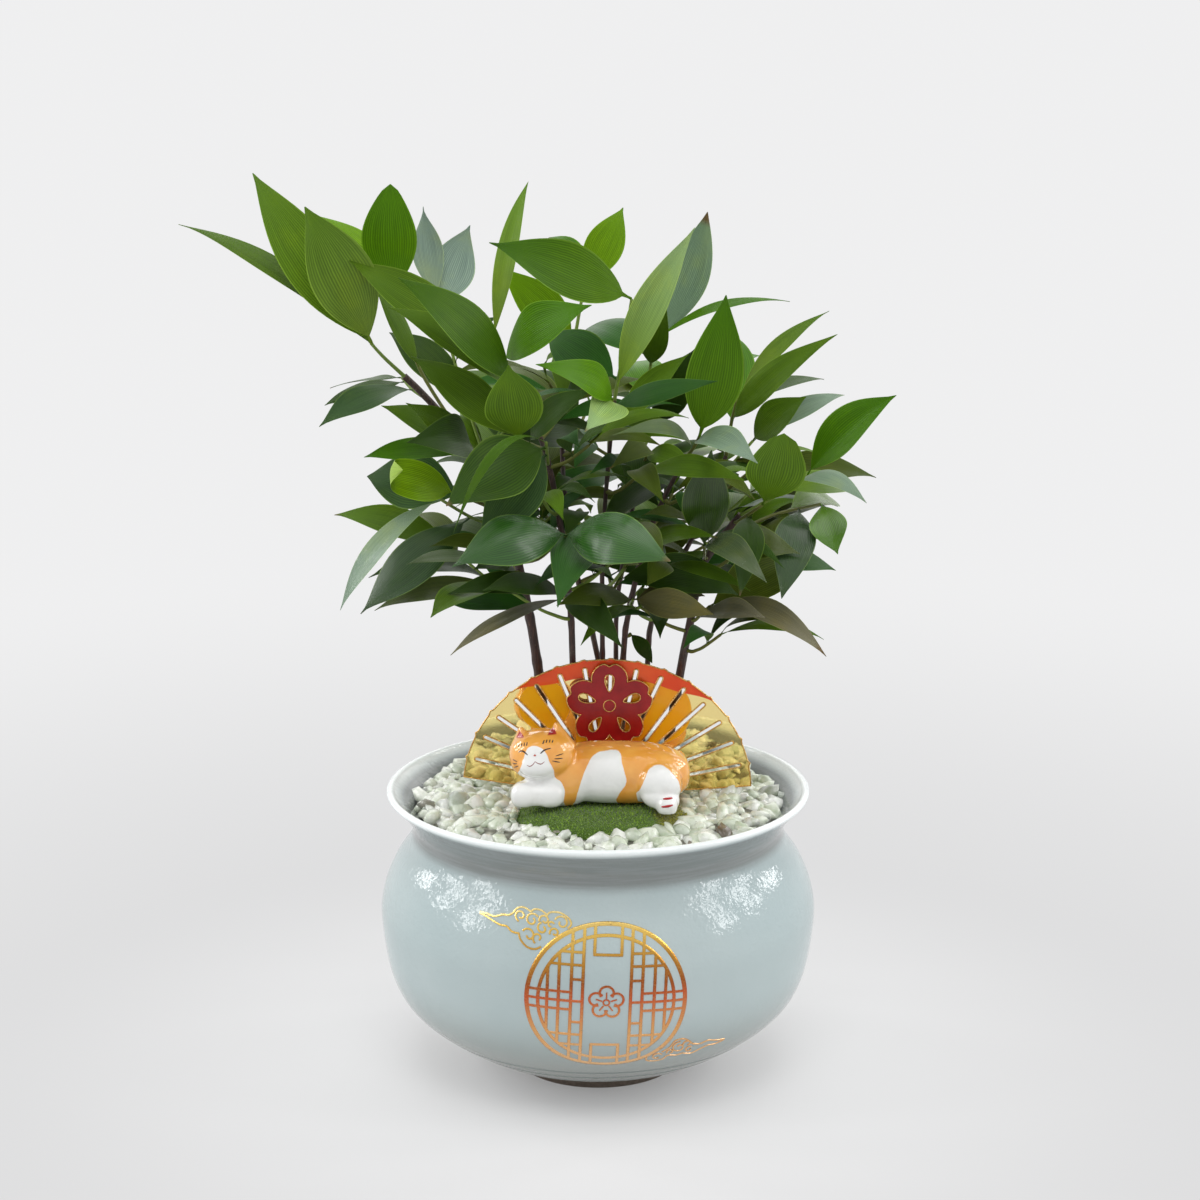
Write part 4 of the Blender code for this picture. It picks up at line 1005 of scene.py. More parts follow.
def fine_width(share, bulge, drip):
    """The same outline drawn finely, with a thin stalk; more bulge puts the widest place farther out."""
    if share < PETIOLE:
        return 0.055
    reach = (share - PETIOLE) / (1 - PETIOLE)
    return max(0.018, math.sin(math.pi * reach ** bulge) ** (1 + drip * reach ** 3))


def habit(chance, given):
    """How a blade is bent: what is given for it, and the rest by chance."""
    made = {
        "bulge": chance.uniform(0.84, 1.0), "drip": chance.uniform(0.0, 0.35),
        "cup": chance.uniform(-0.14, 0.20), "fold": chance.choice((0.0, 0.05, 0.16)),
        "droop": chance.uniform(0.0, 0.05), "sway": chance.uniform(-0.03, 0.03),
        "twist": chance.uniform(-0.22, 0.22), "wave": chance.uniform(0.01, 0.05), "curl": 0,
        "dry_from": 0.97 if chance.random() < DRY_CHANCE else 2, "move": (0, 0, 0)}
    made.update(given)
    return made


def rod(bm, route, radii, colour_layer, colour, sides=8):
    """A round rod with closed ends along the route."""
    rings = []
    side = Vector((0.31, 0.87, 0.38))
    for i, place in enumerate(route):
        way = (route[min(i + 1, len(route) - 1)] - route[max(i - 1, 0)]).normalized()
        side = (side - way * side.dot(way)).normalized()
        other = way.cross(side)
        rings.append([bm.verts.new(place + (side * math.cos(a) + other * math.sin(a)) * radii[i])
                      for a in (math.tau * k / sides for k in range(sides))])
    faces = [bm.faces.new(rings[0][::-1]), bm.faces.new(rings[-1])]
    for low, high in zip(rings, rings[1:]):
        faces += skin(bm, low, high)
    for face in faces:
        face.smooth = True
        for loop in face.loops:
            loop[colour_layer] = (*colour, 1)


def fine_leaf(bm, layers, base, tip, tone, chance, given):
    """One leaf: a thin blade, cupped or domed across, folded a little and twisted along its length."""
    bent = habit(chance, given)
    tip = tip + Vector(bent["move"]) * MM
    width, arch = bent["width"] * MM, bent["arch"] * MM
    colour_layer, vein_layer = layers
    along, face = leaf_axes(base, tip, bent["turn"])
    across = along.cross(face)
    length = (tip - base).length
    droop, sway, wave = bent["droop"] * length, bent["sway"] * length, bent["wave"] * width
    phase = chance.uniform(0, math.tau)
    glow = chance.uniform(0.88, 1.14)
    near, far, below = TONES[tone]
    upper, lower = [], []
    for i in range(LEAF_ROWS + 1):
        share = (i / LEAF_ROWS) ** ROW_SPREAD
        roll = bent["curl"] * max(0.0, share - CURL_START)
        flat = CURL_START if roll else share
        bow = 4 * flat * (1 - flat)
        middle = (base + (tip - base) * flat + face * (arch * bow - droop * flat ** 5)
                  + across * sway * bow)
        turned = bent["twist"] * (share - 0.35)
        side = across * math.cos(turned) + face * math.sin(turned)
        out = face * math.cos(turned) - across * math.sin(turned)
        if roll:
            middle += (along * math.sin(roll) + face * (1 - math.cos(roll))) * length / bent["curl"]
            out = out * math.cos(roll) - along * math.sin(roll)
        half = fine_width(share, bent["bulge"], bent["drip"]) * width / 2
        tops, bottoms = [], []
        for j in range(LEAF_COLUMNS + 1):
            t = 2 * j / LEAF_COLUMNS - 1
            lift = (half * (bent["cup"] * abs(t) ** 1.7 + bent["fold"] * (abs(t) - 0.5))
                    + wave * abs(t) ** 3 * math.sin(9 * share + phase + 2.1 * (t > 0)) * bow)
            place = middle + side * half * t + out * lift
            thick = LEAF_THICKNESS / 2 * (1 - t * t) * (2.2 if share < PETIOLE else 1)
            top = bm.verts.new(place + out * thick)
            tops.append(top)
            bottoms.append(top if abs(t) == 1 else bm.verts.new(place - out * thick))
        upper.append(tops)
        lower.append(bottoms)
    for rows, is_upper in ((upper, True), (lower, False)):
        for i in range(LEAF_ROWS):
            for j in range(LEAF_COLUMNS):
                for corners in (((i, j), (i + 1, j), (i + 1, j + 1)), ((i, j), (i + 1, j + 1), (i, j + 1))):
                    if is_upper:
                        corners = corners[::-1]
                    made = bm.faces.new([rows[a][b] for a, b in corners])
                    made.smooth = True
                    for loop, (a, b) in zip(made.loops, corners):
                        share = a / LEAF_ROWS
                        colour = Vector(near).lerp(Vector(far), share) if is_upper else below
                        if share > bent["dry_from"]:
                            colour = DRY
                        loop[colour_layer] = (*(c * glow for c in colour), 1)
                        loop[vein_layer].uv = (b / LEAF_COLUMNS + (0 if is_upper else 2), share)
    for side in (0, -1):
        for low, high in zip(upper, upper[1:]):
            bm.edges.get((low[side], high[side])).smooth = False
    for tops, bottoms in ((upper[0], lower[0]), (upper[-1][::-1], lower[-1][::-1])):
        rim = bm.faces.new(tops + bottoms[-2:0:-1])
        for loop in rim.loops:
            loop[colour_layer] = (*near, 1)
            loop[vein_layer].uv = (0.5, 0)


def leaf_finish(name, gloss, roughness):
    """Reads the leaf's tone, which for some tones holds painted light; the veins run along its UV and meet
    at both ends.
    """
    leaf = Finish(name, Specular_IOR_Level=gloss)
    place = leaf.place
    own = put(leaf.tree, "ShaderNodeVertexColor", layer_name="leaf_tone")
    sideways, along, _ = split(put(leaf.tree, "ShaderNodeUVMap", uv_map="veins"))
    across = reckon("FRACT", sideways)
    wander = (speckle(place, 120, 2) - 0.5) * 0.03
    vein = reckon("SINE", (across + wander) * (math.tau * VEINS)) * 0.5 + 0.5
    streak = speckle(put(leaf.tree, "ShaderNodeCombineXYZ", {"X": across * 16, "Y": along}), 2.4, 4)
    body = blend(vein, dyed(own, (0.80, 0.80, 0.82)), dyed(own, (1.34, 1.34, 1.2)))
    body = dyed(body, (0.74, 0.76, 0.80), between(streak, 0.35, 0.75))
    body = dyed(body, (1.22, 1.14, 0.85), between(speckle(place, 75, 4), 0.45, 0.8))
    # Painted highlight: a thin pale line along both margins of the blade.
    from_edge = 0.5 - reckon("ABSOLUTE", across - 0.5)
    margin_highlight = dyed(blend(0.5, body, (0.10, 0.16, 0.03)), (2.6, 2.4, 2.2))
    body = blend(between(from_edge, 0.032, 0.0) * 0.6, body, margin_highlight)
    underside = reckon("GREATER_THAN", sideways, 1.5)
    rough = speckle(place, 400) * 0.10 + underside * 0.2 + (roughness - 0.05)
    return leaf.made(body, vein * 0.35 + streak * 0.8, 0.00009, Roughness=rough)


plain_leaf = leaf_finish("nagi_leaf", 0.10, 0.38)
glossy_leaf = leaf_finish("nagi_leaf_glossy", 0.48, 0.25)
shaded_leaf = leaf_finish("nagi_leaf_shaded", 0.06, 0.5)
crowd = Crowd()
for number, (radius, _) in STEMS.items():
    crowd.add(prism(stem_route(number), radius * MM + GAP), f"stem_{number}", "wood")

grown = {**SHOOTS, **filling_shoots(FILLING, "filling", FILLING_SEED, LEAF_LENGTH, LEAF_WIDTH)}
inner = {**SHADED, **filling_shoots(INNER, "inner", INNER_SEED, INNER_LENGTH, INNER_WIDTH)}
for shoots, are_solid in ((grown, True), (inner, False)):
    twigs = {name: twig_route(number, places) for name, (number, places, _) in shoots.items()}
    for name, route in twigs.items():
        crowd.add(prism(route, TWIG_RADIUS + GAP), name, "wood")
    for name, (number, _, leaves) in shoots.items():
        bm = bmesh.new()
        layers = (bm.loops.layers.float_color.new("leaf_tone"), bm.loops.layers.uv.new("veins"))
        chance = random.Random(name)
        route = twigs[name]
        wood = stem_route(number)
        joint = min((point_along(wood, k / 120) for k in range(121)), key=lambda p: (p - route[0]).length)
        fine = smooth_route([joint] + route, 3)
        girths = [TWIG_RADIUS * (1.0 - 0.3 * i / len(fine)) for i in range(len(fine))]
        rod(bm, fine, girths, layers[0], chance.choice(TWIG_TONES))
        for index, (along, tip, width, turn, arch, tone) in enumerate(leaves):
            base = point_along(route, along)
            place = settle(crowd, name, base, (Vector(tip) * MM, width * MM, turn, arch * MM))
            if place is not None:
                given = {"width": width, "turn": turn, "arch": arch, **HABITS.get((name, index), {})}
                fine_leaf(bm, layers, base, place, tone, chance, given)
        if are_solid:
            add_piece(name + "_leaves", bm, glossy_leaf if name in GLOSSY else plain_leaf, "leaf", name)
        else:
            add_piece(name + "_leaves", bm, shaded_leaf, "leaf")


# ---------------------------------------------------------------- the stones
# Tumbled chips of white and pale green stone with a few grey and brown ones, poured over the soil
# round the stems and raked nearly level; they lean against the moss and the pot's wall.

BED_RADIUS = 77.5 * MM
BED_LAYERS = ((7, 122.6, 4.9), (19, 124.8, 5.6))    # seed, top and spacing in mm
CHIP_KINDS = 8
CHIP_POINTS = 20
CHIP_HALF = 4.1 * MM
CHIP_SEED = 31
MOSS_PLACE = (2 * MM, -35 * MM)
MOSS_CLEAR = (34 * MM, 25.5 * MM, 1.0)


def chip_mesh(chance):
    """One broken and tumbled stone: the hull of a few points on a flattened ball."""
    bm = bmesh.new()
    half = Vector((chance.uniform(0.95, 1.5), chance.uniform(0.7, 1.05), chance.uniform(0.42, 0.75)))
    for _ in range(CHIP_POINTS):
        way = Vector([chance.gauss(0, 1) for _ in range(3)]).normalized()
        bm.verts.new(way * half * CHIP_HALF)
    bmesh.ops.convex_hull(bm, input=bm.verts)
    outward(bm)
    return mesh_from(bm, "chip")


def bed_mesh(top):
    """A shallow heap, lower at the wall; the chips lie on it."""
    bm = bmesh.new()
    bmesh.ops.create_circle(bm, cap_ends=True, segments=48, radius=BED_RADIUS)
    bmesh.ops.poke(bm, faces=bm.faces)
    bmesh.ops.subdivide_edges(bm, edges=bm.edges, cuts=5, use_grid_fill=True)
    for vert in bm.verts:
        out = vert.co.length / BED_RADIUS
        bump = 1.1 * noise.noise(Vector((vert.co.x * 45, vert.co.y * 45, top)))
        vert.co.z = (top - 2.6 * out ** 3 + bump) * MM
    return mesh_from(bm, "stone_bed")


def scatter_tree():
    """Sets random kinds from a collection on a surface, outside an oval, each with its own tint."""
    tree, given = new_tree("scatter_on_surface", {
        "Kinds": "Collection", "Spacing": "Float", "Seed": "Int", "Smallest": "Float", "Largest": "Float",
        "Tilt": "Float", "Clear Centre": "Vector", "Clear Half": "Vector", "Finish": "Material"})
    spread = put(tree, "GeometryNodeDistributePointsOnFaces", {
        "Mesh": given["Geometry"], "Distance Min": given["Spacing"], "Density Max": 1.0e7,
        "Seed": given["Seed"]}, distribute_method="POISSON")
    offset = put(tree, "ShaderNodeVectorMath", {0: put(tree, "GeometryNodeInputPosition"),
                                                1: given["Clear Centre"]}, operation="SUBTRACT")
    share = put(tree, "ShaderNodeVectorMath", {0: offset, 1: given["Clear Half"]}, operation="DIVIDE")
    reach = put(tree, "ShaderNodeVectorMath", {0: share}, "Value", operation="LENGTH")
    kept = put(tree, "GeometryNodeDeleteGeometry", {
        "Geometry": spread, "Selection": reckon("LESS_THAN", reach, 1.0)}, domain="POINT")
    kinds = put(tree, "GeometryNodeCollectionInfo", {"Collection": given["Kinds"], "Separate Children": True,
                                                     "Reset Children": True})
    pick = put(tree, "FunctionNodeRandomValue", {4: 0, 5: 97, "Seed": 3}, 2, data_type="INT")
    tilt = given["Tilt"]
    least = put(tree, "ShaderNodeCombineXYZ", {0: tilt * -1.0, 1: tilt * -1.0})
    most = put(tree, "ShaderNodeCombineXYZ", {0: tilt, 1: tilt, 2: math.tau})
    turn = put(tree, "FunctionNodeRandomValue", {0: least, 1: most, "Seed": 4}, data_type="FLOAT_VECTOR")
    turned = put(tree, "FunctionNodeRotateRotation", {
        "Rotation": spread["Rotation"], "Rotate By": put(tree, "FunctionNodeEulerToRotation", {0: turn})},
        rotation_space="LOCAL")
    size = put(tree, "FunctionNodeRandomValue", {2: given["Smallest"], 3: given["Largest"], "Seed": 5}, 1,
               data_type="FLOAT")
    each = put(tree, "GeometryNodeInstanceOnPoints", {
        "Points": kept, "Instance": kinds, "Pick Instance": True, "Instance Index": pick,
        "Rotation": turned, "Scale": size})
    tint = put(tree, "FunctionNodeRandomValue", {2: 0.0, 3: 1.0, "Seed": 6}, 1, data_type="FLOAT")
    tinted = put(tree, "GeometryNodeStoreNamedAttribute", {"Geometry": each, "Name": "tint", "Value": tint},
                 data_type="FLOAT", domain="INSTANCE")
    return ended(tree, tinted, given["Finish"])


def scatter(name, surface, kinds, values):
    """Runs the scatter tree with these shapes, which are taken away again once they are placed."""
    shapes = bpy.data.collections.new(name + "_kinds")
    for number, kind in enumerate(kinds):
        shapes.objects.link(bpy.data.objects.new(f"{name}_kind_{number}", kind))
    made = grow(scatter_on_surface, surface, name, {"Kinds": shapes, **values})
    for kind in list(shapes.objects):
        bpy.data.objects.remove(kind)
    bpy.data.collections.remove(shapes)
    return made


def pale_chips():
    stone = Finish("pale_stone_chips", Coat_Weight=0.4)
    body = ramp(stone.attribute("tint"), {
        0.0: (0.075, 0.048, 0.032), 0.025: (0.20, 0.17, 0.13), 0.05: (0.42, 0.46, 0.40),
        0.22: (0.60, 0.66, 0.53), 0.45: (0.78, 0.82, 0.71), 0.72: (0.90, 0.91, 0.86),
        1.0: (0.66, 0.68, 0.65)})
    clouds = speckle(stone.place, 260, 5, 0.6)
    body = dyed(body, (0.72, 0.77, 0.66), between(clouds, 0.42, 0.72))
    stains = speckle(stone.place, 900)
    body = blend(between(stains, 0.66, 0.8), body, (0.33, 0.30, 0.22))
    return stone.made(body, clouds + stains * 0.4, 0.0006, Roughness=clouds * 0.25 + 0.08)


def grit_in_painted_shade():
    """What shows between the chips: more chips, with painted shade in the gaps between them."""
    grit = Finish("grit_in_painted_shade", Roughness=0.8)
    gap = cells(grit.place, 190)
    return grit.made(ramp(gap, {0.1: (0.42, 0.43, 0.37), 0.5: (0.17, 0.17, 0.14)}), 1.0 - gap, 0.002)


refinish("white_stones", grit_in_painted_shade())
chance = random.Random(CHIP_SEED)
chip_kinds = [chip_mesh(chance) for _ in range(CHIP_KINDS)]
scatter_on_surface = scatter_tree()
chip_finish = pale_chips()
chips = bmesh.new()
for seed, top, spacing in BED_LAYERS:
    chips.from_mesh(scatter("stone_layer", bed_mesh(top), chip_kinds, {
        "Spacing": spacing * MM, "Seed": seed, "Smallest": 0.5, "Largest": 1.6, "Tilt": 0.75,
        "Clear Centre": (*MOSS_PLACE, top * MM), "Clear Half": MOSS_CLEAR, "Finish": chip_finish}))
smoothed(chips)
add_piece("stone_chips", chips, chip_finish, "stones")


# ---------------------------------------------------------------- the moss
# A low cushion of short, dense green moss that lies on the stones and carries the figurine; its
# right end has turned olive yellow.

MOSS_CENTRE = Vector((2, -35, 122.8)) * MM
MOSS_HALF = Vector((37.5, 28, 9.3)) * MM
MOSS_TOP = 130.4 * MM
CUSHION_RINGS = 36
TUFT_KINDS = 6
TUFT_SPACING = 0.85 * MM
TUFT_HEIGHT = 1.35 * MM
TUFT_RADII = (0.62 * MM, 0.08 * MM)


def cushion_mesh():
    """The bare cushion: a flattened ball, trodden flat where the figurine lies."""
    angles = [math.pi * k / CUSHION_RINGS for k in range(1, CUSHION_RINGS)]
    ball = [(0, 1)] + [(math.sin(a), math.cos(a)) for a in angles] + [(0, -1)]
    bm = turned_shape(ball, 2 * CUSHION_RINGS)
    for vert in bm.verts:
        vert.co = MOSS_CENTRE + vert.co * MOSS_HALF
        vert.co.z += 0.5 * MM * noise.noise(vert.co * 110)
        vert.co.z = min(vert.co.z, MOSS_TOP)
    return mesh_from(bm, "moss_cushion")


def tuft_mesh(chance):
    """A pointed tuft of a few moss leaves, leaning a little."""
    bm = bmesh.new()
    bmesh.ops.create_cone(bm, cap_ends=True, segments=4, radius1=TUFT_RADII[0], radius2=TUFT_RADII[1],
                          depth=TUFT_HEIGHT)
    lean = Vector((chance.uniform(-0.45, 0.45), chance.uniform(-0.45, 0.45), 0))
    for vert in bm.verts:
        if vert.co.z > 0:
            vert.co += lean * TUFT_HEIGHT
    return mesh_from(bm, "tuft")


def short_moss():
    moss = Finish("short_green_moss", Roughness=0.9, Sheen_Weight=0.25, Sheen_Roughness=0.5)
    fine = speckle(moss.place, 1300)
    share = moss.attribute("tint") * 0.55 + fine * 0.5
    green = ramp(share, {0.12: (0.030, 0.070, 0.004), 0.42: (0.115, 0.220, 0.012),
                         0.75: (0.21, 0.36, 0.030), 0.95: (0.36, 0.52, 0.09)})
    olive = ramp(share, {0.12: (0.08, 0.085, 0.005), 0.5: (0.28, 0.28, 0.018), 0.9: (0.46, 0.44, 0.06)})
    dry = between(split(moss.place)[0] + speckle(moss.place, 90) * 0.01, 0.028, 0.034)
    return moss.made(blend(dry, green, olive), fine, 0.0008)


moss_finish = short_moss()
tufts = scatter("moss_tufts", cushion_mesh(), [tuft_mesh(chance) for _ in range(TUFT_KINDS)], {
    "Spacing": TUFT_SPACING, "Seed": 5, "Smallest": 0.6, "Largest": 1.3, "Tilt": 0.5,
    "Clear Centre": (0.0, 0.0, 0.0), "Clear Half": (MM, MM, MM), "Finish": moss_finish})
turf = bmesh.new()
turf.from_mesh(cushion_mesh())
turf.verts.layers.float.new("tint")
turf.from_mesh(tufts)
add_piece("moss_turf", turf, moss_finish, "moss", "moss_mound")


# ---------------------------------------------------------------- the cat
# A small moulded pottery cat that lies asleep on the moss: white glaze with orange over it, and
# the face and toes drawn with a fine brush.

CAT_FLOOR = 130.7 * MM
CLAY_GRAIN = 0.6 * MM
CLAY_SOFTENING = 9
WHITE_FRONT = -31                           # the glazes are marked in front of these places, mm
RED_FRONT = -37.6
EAR_TIP = 1.5 * MM
STROKE_SINK = 0.12 * MM
# Each form of the model: its centre and half sizes in mm, its tilt in degrees and how blunt it is.
CAT_FORMS = [
    ((8.5, -31, 143.2), (31, 14, 12.8), 1, 2.7),          # body
    ((-16, -36, 142), (15, 10.5, 12), 0, 2.4),            # chest
    ((-23.6, -38, 153.4), (14.2, 12.2, 10.5), -6, 2.35),  # head
    ((-25.8, -46.8, 151.0), (7.8, 4.4, 5.2), 0, 2.2),     # muzzle
    ((-25.8, -41.0, 136.9), (11.0, 7.2, 5.0), 0, 3.0),    # front paws, folded
    ((-31.6, -43.8, 136.8), (5.5, 5.2, 5.2), 0, 2.6),
    ((-20.2, -43.8, 136.9), (6.0, 5.2, 5.3), 0, 2.6),
    ((25.8, -41, 141.4), (10.0, 8.4, 9.2), 0, 2.3),       # hind leg
    ((26.5, -44.5, 135.6), (8.4, 5.6, 4.8), 14, 2.3),
    ((29.2, -47.5, 133.4), (4.6, 5.0, 4.6), 0, 2.4),
    ((22, -17.5, 137), (17, 4.5, 4.6), 6, 2.2),           # tail
]
# Each ear: the middle of its root, its tip and its half width at the root, in mm.
CAT_EARS = [((-31.2, -37, 157.5), (-32.6, -38, 165.0), 7), ((-15.4, -37, 156.5), (-17.6, -38, 167.0), 9.5)]
# What is left white, seen from the front: x and z in mm round each patch.
WHITE_PATCHES = [
    [(-9.5, 130), (-9.3, 135), (-8.1, 140), (-5.8, 146.7), (-2.5, 153.0), (2, 154.8), (8.9, 154.8),
     (10.3, 150.5), (12.1, 142.9), (9.4, 138.1), (7.8, 134.2), (7.6, 130)],
    [(16.3, 137.7), (18.1, 140.6), (21.3, 148.3), (25.9, 150.2), (30.4, 148.3), (34.1, 143.5),
     (35.1, 137.7), (34.5, 133), (33.5, 128), (23, 128), (20, 132.2), (16.3, 133.9)],
    [(-32.1, 151.5), (-31.0, 155.2), (-29.9, 158.2), (-27.2, 159.8), (-23.4, 158.8), (-21.4, 156.2),
     (-20.2, 153.0), (-18.6, 149.4), (-18.2, 145.6), (-15.4, 143.2), (-14.0, 139), (-14.6, 134), (-15, 128),
     (-41, 128), (-41, 144.2), (-33.0, 144.8)],
]
RED_PATCHES = [
    [(-34.7, 160.6), (-31.2, 161.8), (-33.1, 163.7)],
    [(-21.3, 163.2), (-17.3, 163.2), (-19.0, 165.6)],
]
INK = (0.030, 0.012, 0.010)
LIP_RED = (0.20, 0.022, 0.018)
TOE_RED = (0.42, 0.010, 0.012)
NOSE_PINK = (0.52, 0.13, 0.10)
# Each stroke of the brush: its colour, its width in mm, and x and z along it in mm.
BRUSH_STROKES = [
    (INK, 0.72, [(-33.4, 156.6), (-32.2, 157.3), (-31.0, 157.1), (-29.5, 156.0)]),
    (INK, 0.72, [(-24.2, 156.8), (-23.2, 157.7), (-22.0, 158.4), (-19.8, 158.9)]),
    (LIP_RED, 0.48, [(-29.9, 152.1), (-28.7, 151.6), (-27.4, 152.3), (-26.4, 153.6)]),
    (LIP_RED, 0.48, [(-26.4, 153.6), (-25.2, 152.9), (-23.8, 152.6), (-22.5, 153.5)]),
    (NOSE_PINK, 0.95, [(-27.0, 156.0), (-26.0, 156.1)]),
    (INK, 0.58, [(-33.4, 158.6), (-33.1, 159.5)]), (INK, 0.58, [(-32.3, 158.9), (-32.0, 160.0)]),
    (INK, 0.58, [(-31.1, 159.3), (-30.9, 160.4)]), (INK, 0.58, [(-30.0, 159.5), (-29.8, 160.7)]),
    (INK, 0.62, [(-23.2, 160.4), (-22.6, 161.7)]), (INK, 0.58, [(-21.8, 160.8), (-21.4, 161.9)]),
    (INK, 0.58, [(-20.5, 160.9), (-20.1, 161.9)]), (INK, 0.58, [(-19.3, 160.8), (-18.9, 161.7)]),
    (INK, 0.58, [(-17.7, 155.7), (-14.6, 156.3)]), (INK, 0.58, [(-18.3, 154.5), (-14.9, 154.4)]),
    (INK, 0.58, [(-19.2, 153.7), (-16.0, 152.8)]), (INK, 0.50, [(-35.9, 152.9), (-33.9, 152.5)]),
    (INK, 0.50, [(-35.9, 151.0), (-34.0, 151.6)]), (INK, 0.50, [(-35.3, 149.3), (-33.5, 150.8)]),
    (TOE_RED, 1.2, [(27.6, 137.1), (31.4, 137.3)]), (TOE_RED, 1.2, [(26.9, 134.1), (31.5, 134.8)]),
]


def clay_form(bm, middle, half, tilt, blunt):
    """Adds one blunt rounded form."""
    turn = Matrix.Rotation(math.radians(tilt), 3, "Y")
    for vert in bmesh.ops.create_uvsphere(bm, u_segments=40, v_segments=24, radius=1)["verts"]:
        reach = sum(abs(part) ** blunt for part in vert.co) ** (1 / blunt)
        vert.co = (Vector(middle) + turn @ (vert.co / reach * Vector(half))) * MM


def ear_form(bm, root, tip, half):
    """Adds one pointed ear."""
    root, tip = Vector(root) * MM, Vector(tip) * MM
    way = tip - root
    turn = way.to_track_quat("Z", "Y").to_matrix().to_4x4()
    place = Matrix.Translation((root + tip) / 2) @ turn @ Matrix.Diagonal((1, 0.62, 1, 1))
    bmesh.ops.create_cone(bm, cap_ends=True, segments=28, radius1=half * MM, radius2=EAR_TIP,
                          depth=way.length, matrix=place)


def moulded(bm):
    """Runs the forms together into one skin and softens it."""
    lump = carrier_of(mesh_from(bm, "cat_forms"), "cat_clay")
    fused = lump.modifiers.new("one_skin", "REMESH")
    fused.mode = "VOXEL"
    fused.voxel_size = CLAY_GRAIN
    soft = lump.modifiers.new("soft", "SMOOTH")
    soft.factor = 0.6
    soft.iterations = CLAY_SOFTENING
    return baked(lump, "cat_clay")


def depth_inside(place, loop):
    """How far, in mm, a place lies inside a closed loop; it is negative outside."""
    nearest, is_inside = 1e9, False
    for start, end in zip(loop, loop[1:] + loop[:1]):
        edge, gap = end - start, place - start
        share = max(0.0, min(1.0, gap.dot(edge) / edge.dot(edge)))
        nearest = min(nearest, (gap - edge * share).length)
        if (start.y > place.y) != (end.y > place.y):
            if place.x < start.x + (place.y - start.y) / (end.y - start.y) * edge.x:
                is_inside = not is_inside
    return nearest if is_inside else -nearest


def rounded_loop(points, per_span=4):
    """A smooth closed loop through the points."""
    return smooth_route(points[-2:] + points + points[:2], per_span)[2 * per_span:-2 * per_span - 1]


def mark_patches(bm, key, loops, front):
    """Stores how deep each point in front lies inside the patches."""
    layer = bm.verts.layers.float.new(key)
    for vert in bm.verts:
        place = Vector((vert.co.x, vert.co.z)) / MM
        depth = max(depth_inside(place, loop) for loop in loops) if vert.co.y < front * MM else -5.0
        vert[layer] = depth


def cat_glaze():
    glaze = Finish("cat_glaze", Coat_Weight=0.8, Coat_Roughness=0.03)
    place = glaze.place
    pooled = speckle(place, 110)
    orange = ramp(pooled, {0.3: (0.83, 0.34, 0.050), 0.65: (0.90, 0.43, 0.085)})
    white = ramp(pooled, {0.3: (0.86, 0.86, 0.85), 0.7: (0.90, 0.90, 0.89)})
    ragged = glaze.attribute("white_depth") + (speckle(place, 420) - 0.5) * 0.5
    body = blend(between(ragged, -0.18, 0.22), orange, white)
    body = blend(between(glaze.attribute("red_depth"), -0.2, 0.2), body, (0.42, 0.020, 0.028))
    return glaze.made(body, speckle(place, 160, 2), 0.0005, Roughness=pooled * 0.1 + 0.08)


def brush_paint():
    paint = Finish("brush_paint")
    own = put(paint.tree, "ShaderNodeVertexColor", layer_name="stroke_tone")
    grain = speckle(paint.place, 1500)
    body = dyed(own, (1.5, 1.3, 1.2), between(grain, 0.5, 0.8))
    return paint.made(body, grain, 0.0001, Roughness=grain * 0.3 + 0.15)


clay = bmesh.new()
for form in CAT_FORMS:
    clay_form(clay, *form)
for ear in CAT_EARS:
    ear_form(clay, *ear)
cat = bmesh.new()
cat.from_mesh(moulded(clay))
cut = bmesh.ops.bisect_plane(cat, geom=cat.verts[:] + cat.edges[:] + cat.faces[:],
                             plane_co=(0, 0, CAT_FLOOR), plane_no=(0, 0, 1), clear_inner=True)
bmesh.ops.holes_fill(cat, edges=[e for e in cut["geom_cut"] if isinstance(e, bmesh.types.BMEdge)])
mark_patches(cat, "white_depth", [rounded_loop(points) for points in WHITE_PATCHES], WHITE_FRONT)
mark_patches(cat, "red_depth", [[Vector(p) for p in points] for points in RED_PATCHES], RED_FRONT)
smoothed(cat)
cat_surface = BVHTree.FromBMesh(cat)
add_piece("cat_body", cat, cat_glaze(), "cat_glaze", "cat_figurine")

strokes = bmesh.new()
stroke_tone = strokes.loops.layers.float_color.new("stroke_tone")
for colour, width, points in BRUSH_STROKES:
    route = []
    for x, z in smooth_route(points, 5):
        touched = cat_surface.ray_cast(Vector((x * MM, -0.1, z * MM)), Vector((0, 1, 0)))[0]
        route.append(touched + Vector((0, STROKE_SINK, 0)))
    count = len(route) - 1
    swell = [width / 2 * MM * (0.4 + 0.6 * math.sin(math.pi * (0.12 + 0.76 * i / count)))
             for i in range(count + 1)]
    rod(strokes, route, swell, stroke_tone, colour, sides=6)
add_piece("cat_brushwork", strokes, brush_paint(), "cat_glaze")


# ---------------------------------------------------------------- the fan
# An open fan cut from gold mirrored acrylic with its ribs cut through, printed with a red border and
# amber fruit and edged in gold. A red lacquered blossom is glued on it, and a clear strip behind
# holds it in the stones.

FAN_CENTRE = Vector((4, -5, 127))
FAN_RADIUS = 60.8
FAN_STRETCH = Vector((1.036, 0.972))
FAN_THICKNESS = 1.5
FAN_ENDS = (2, 174)
FAN_STEPS = 172
SLOTS = [12 + 10.93 * k for k in range(15)]       # degrees, from +X
SLOT_REACH = (27, 57.8)
SLOT_WIDTH = 1.9
BLOSSOM_CENTRE = Vector((5, -7.0, 166))
BLOSSOM_THICKNESS = 2.2
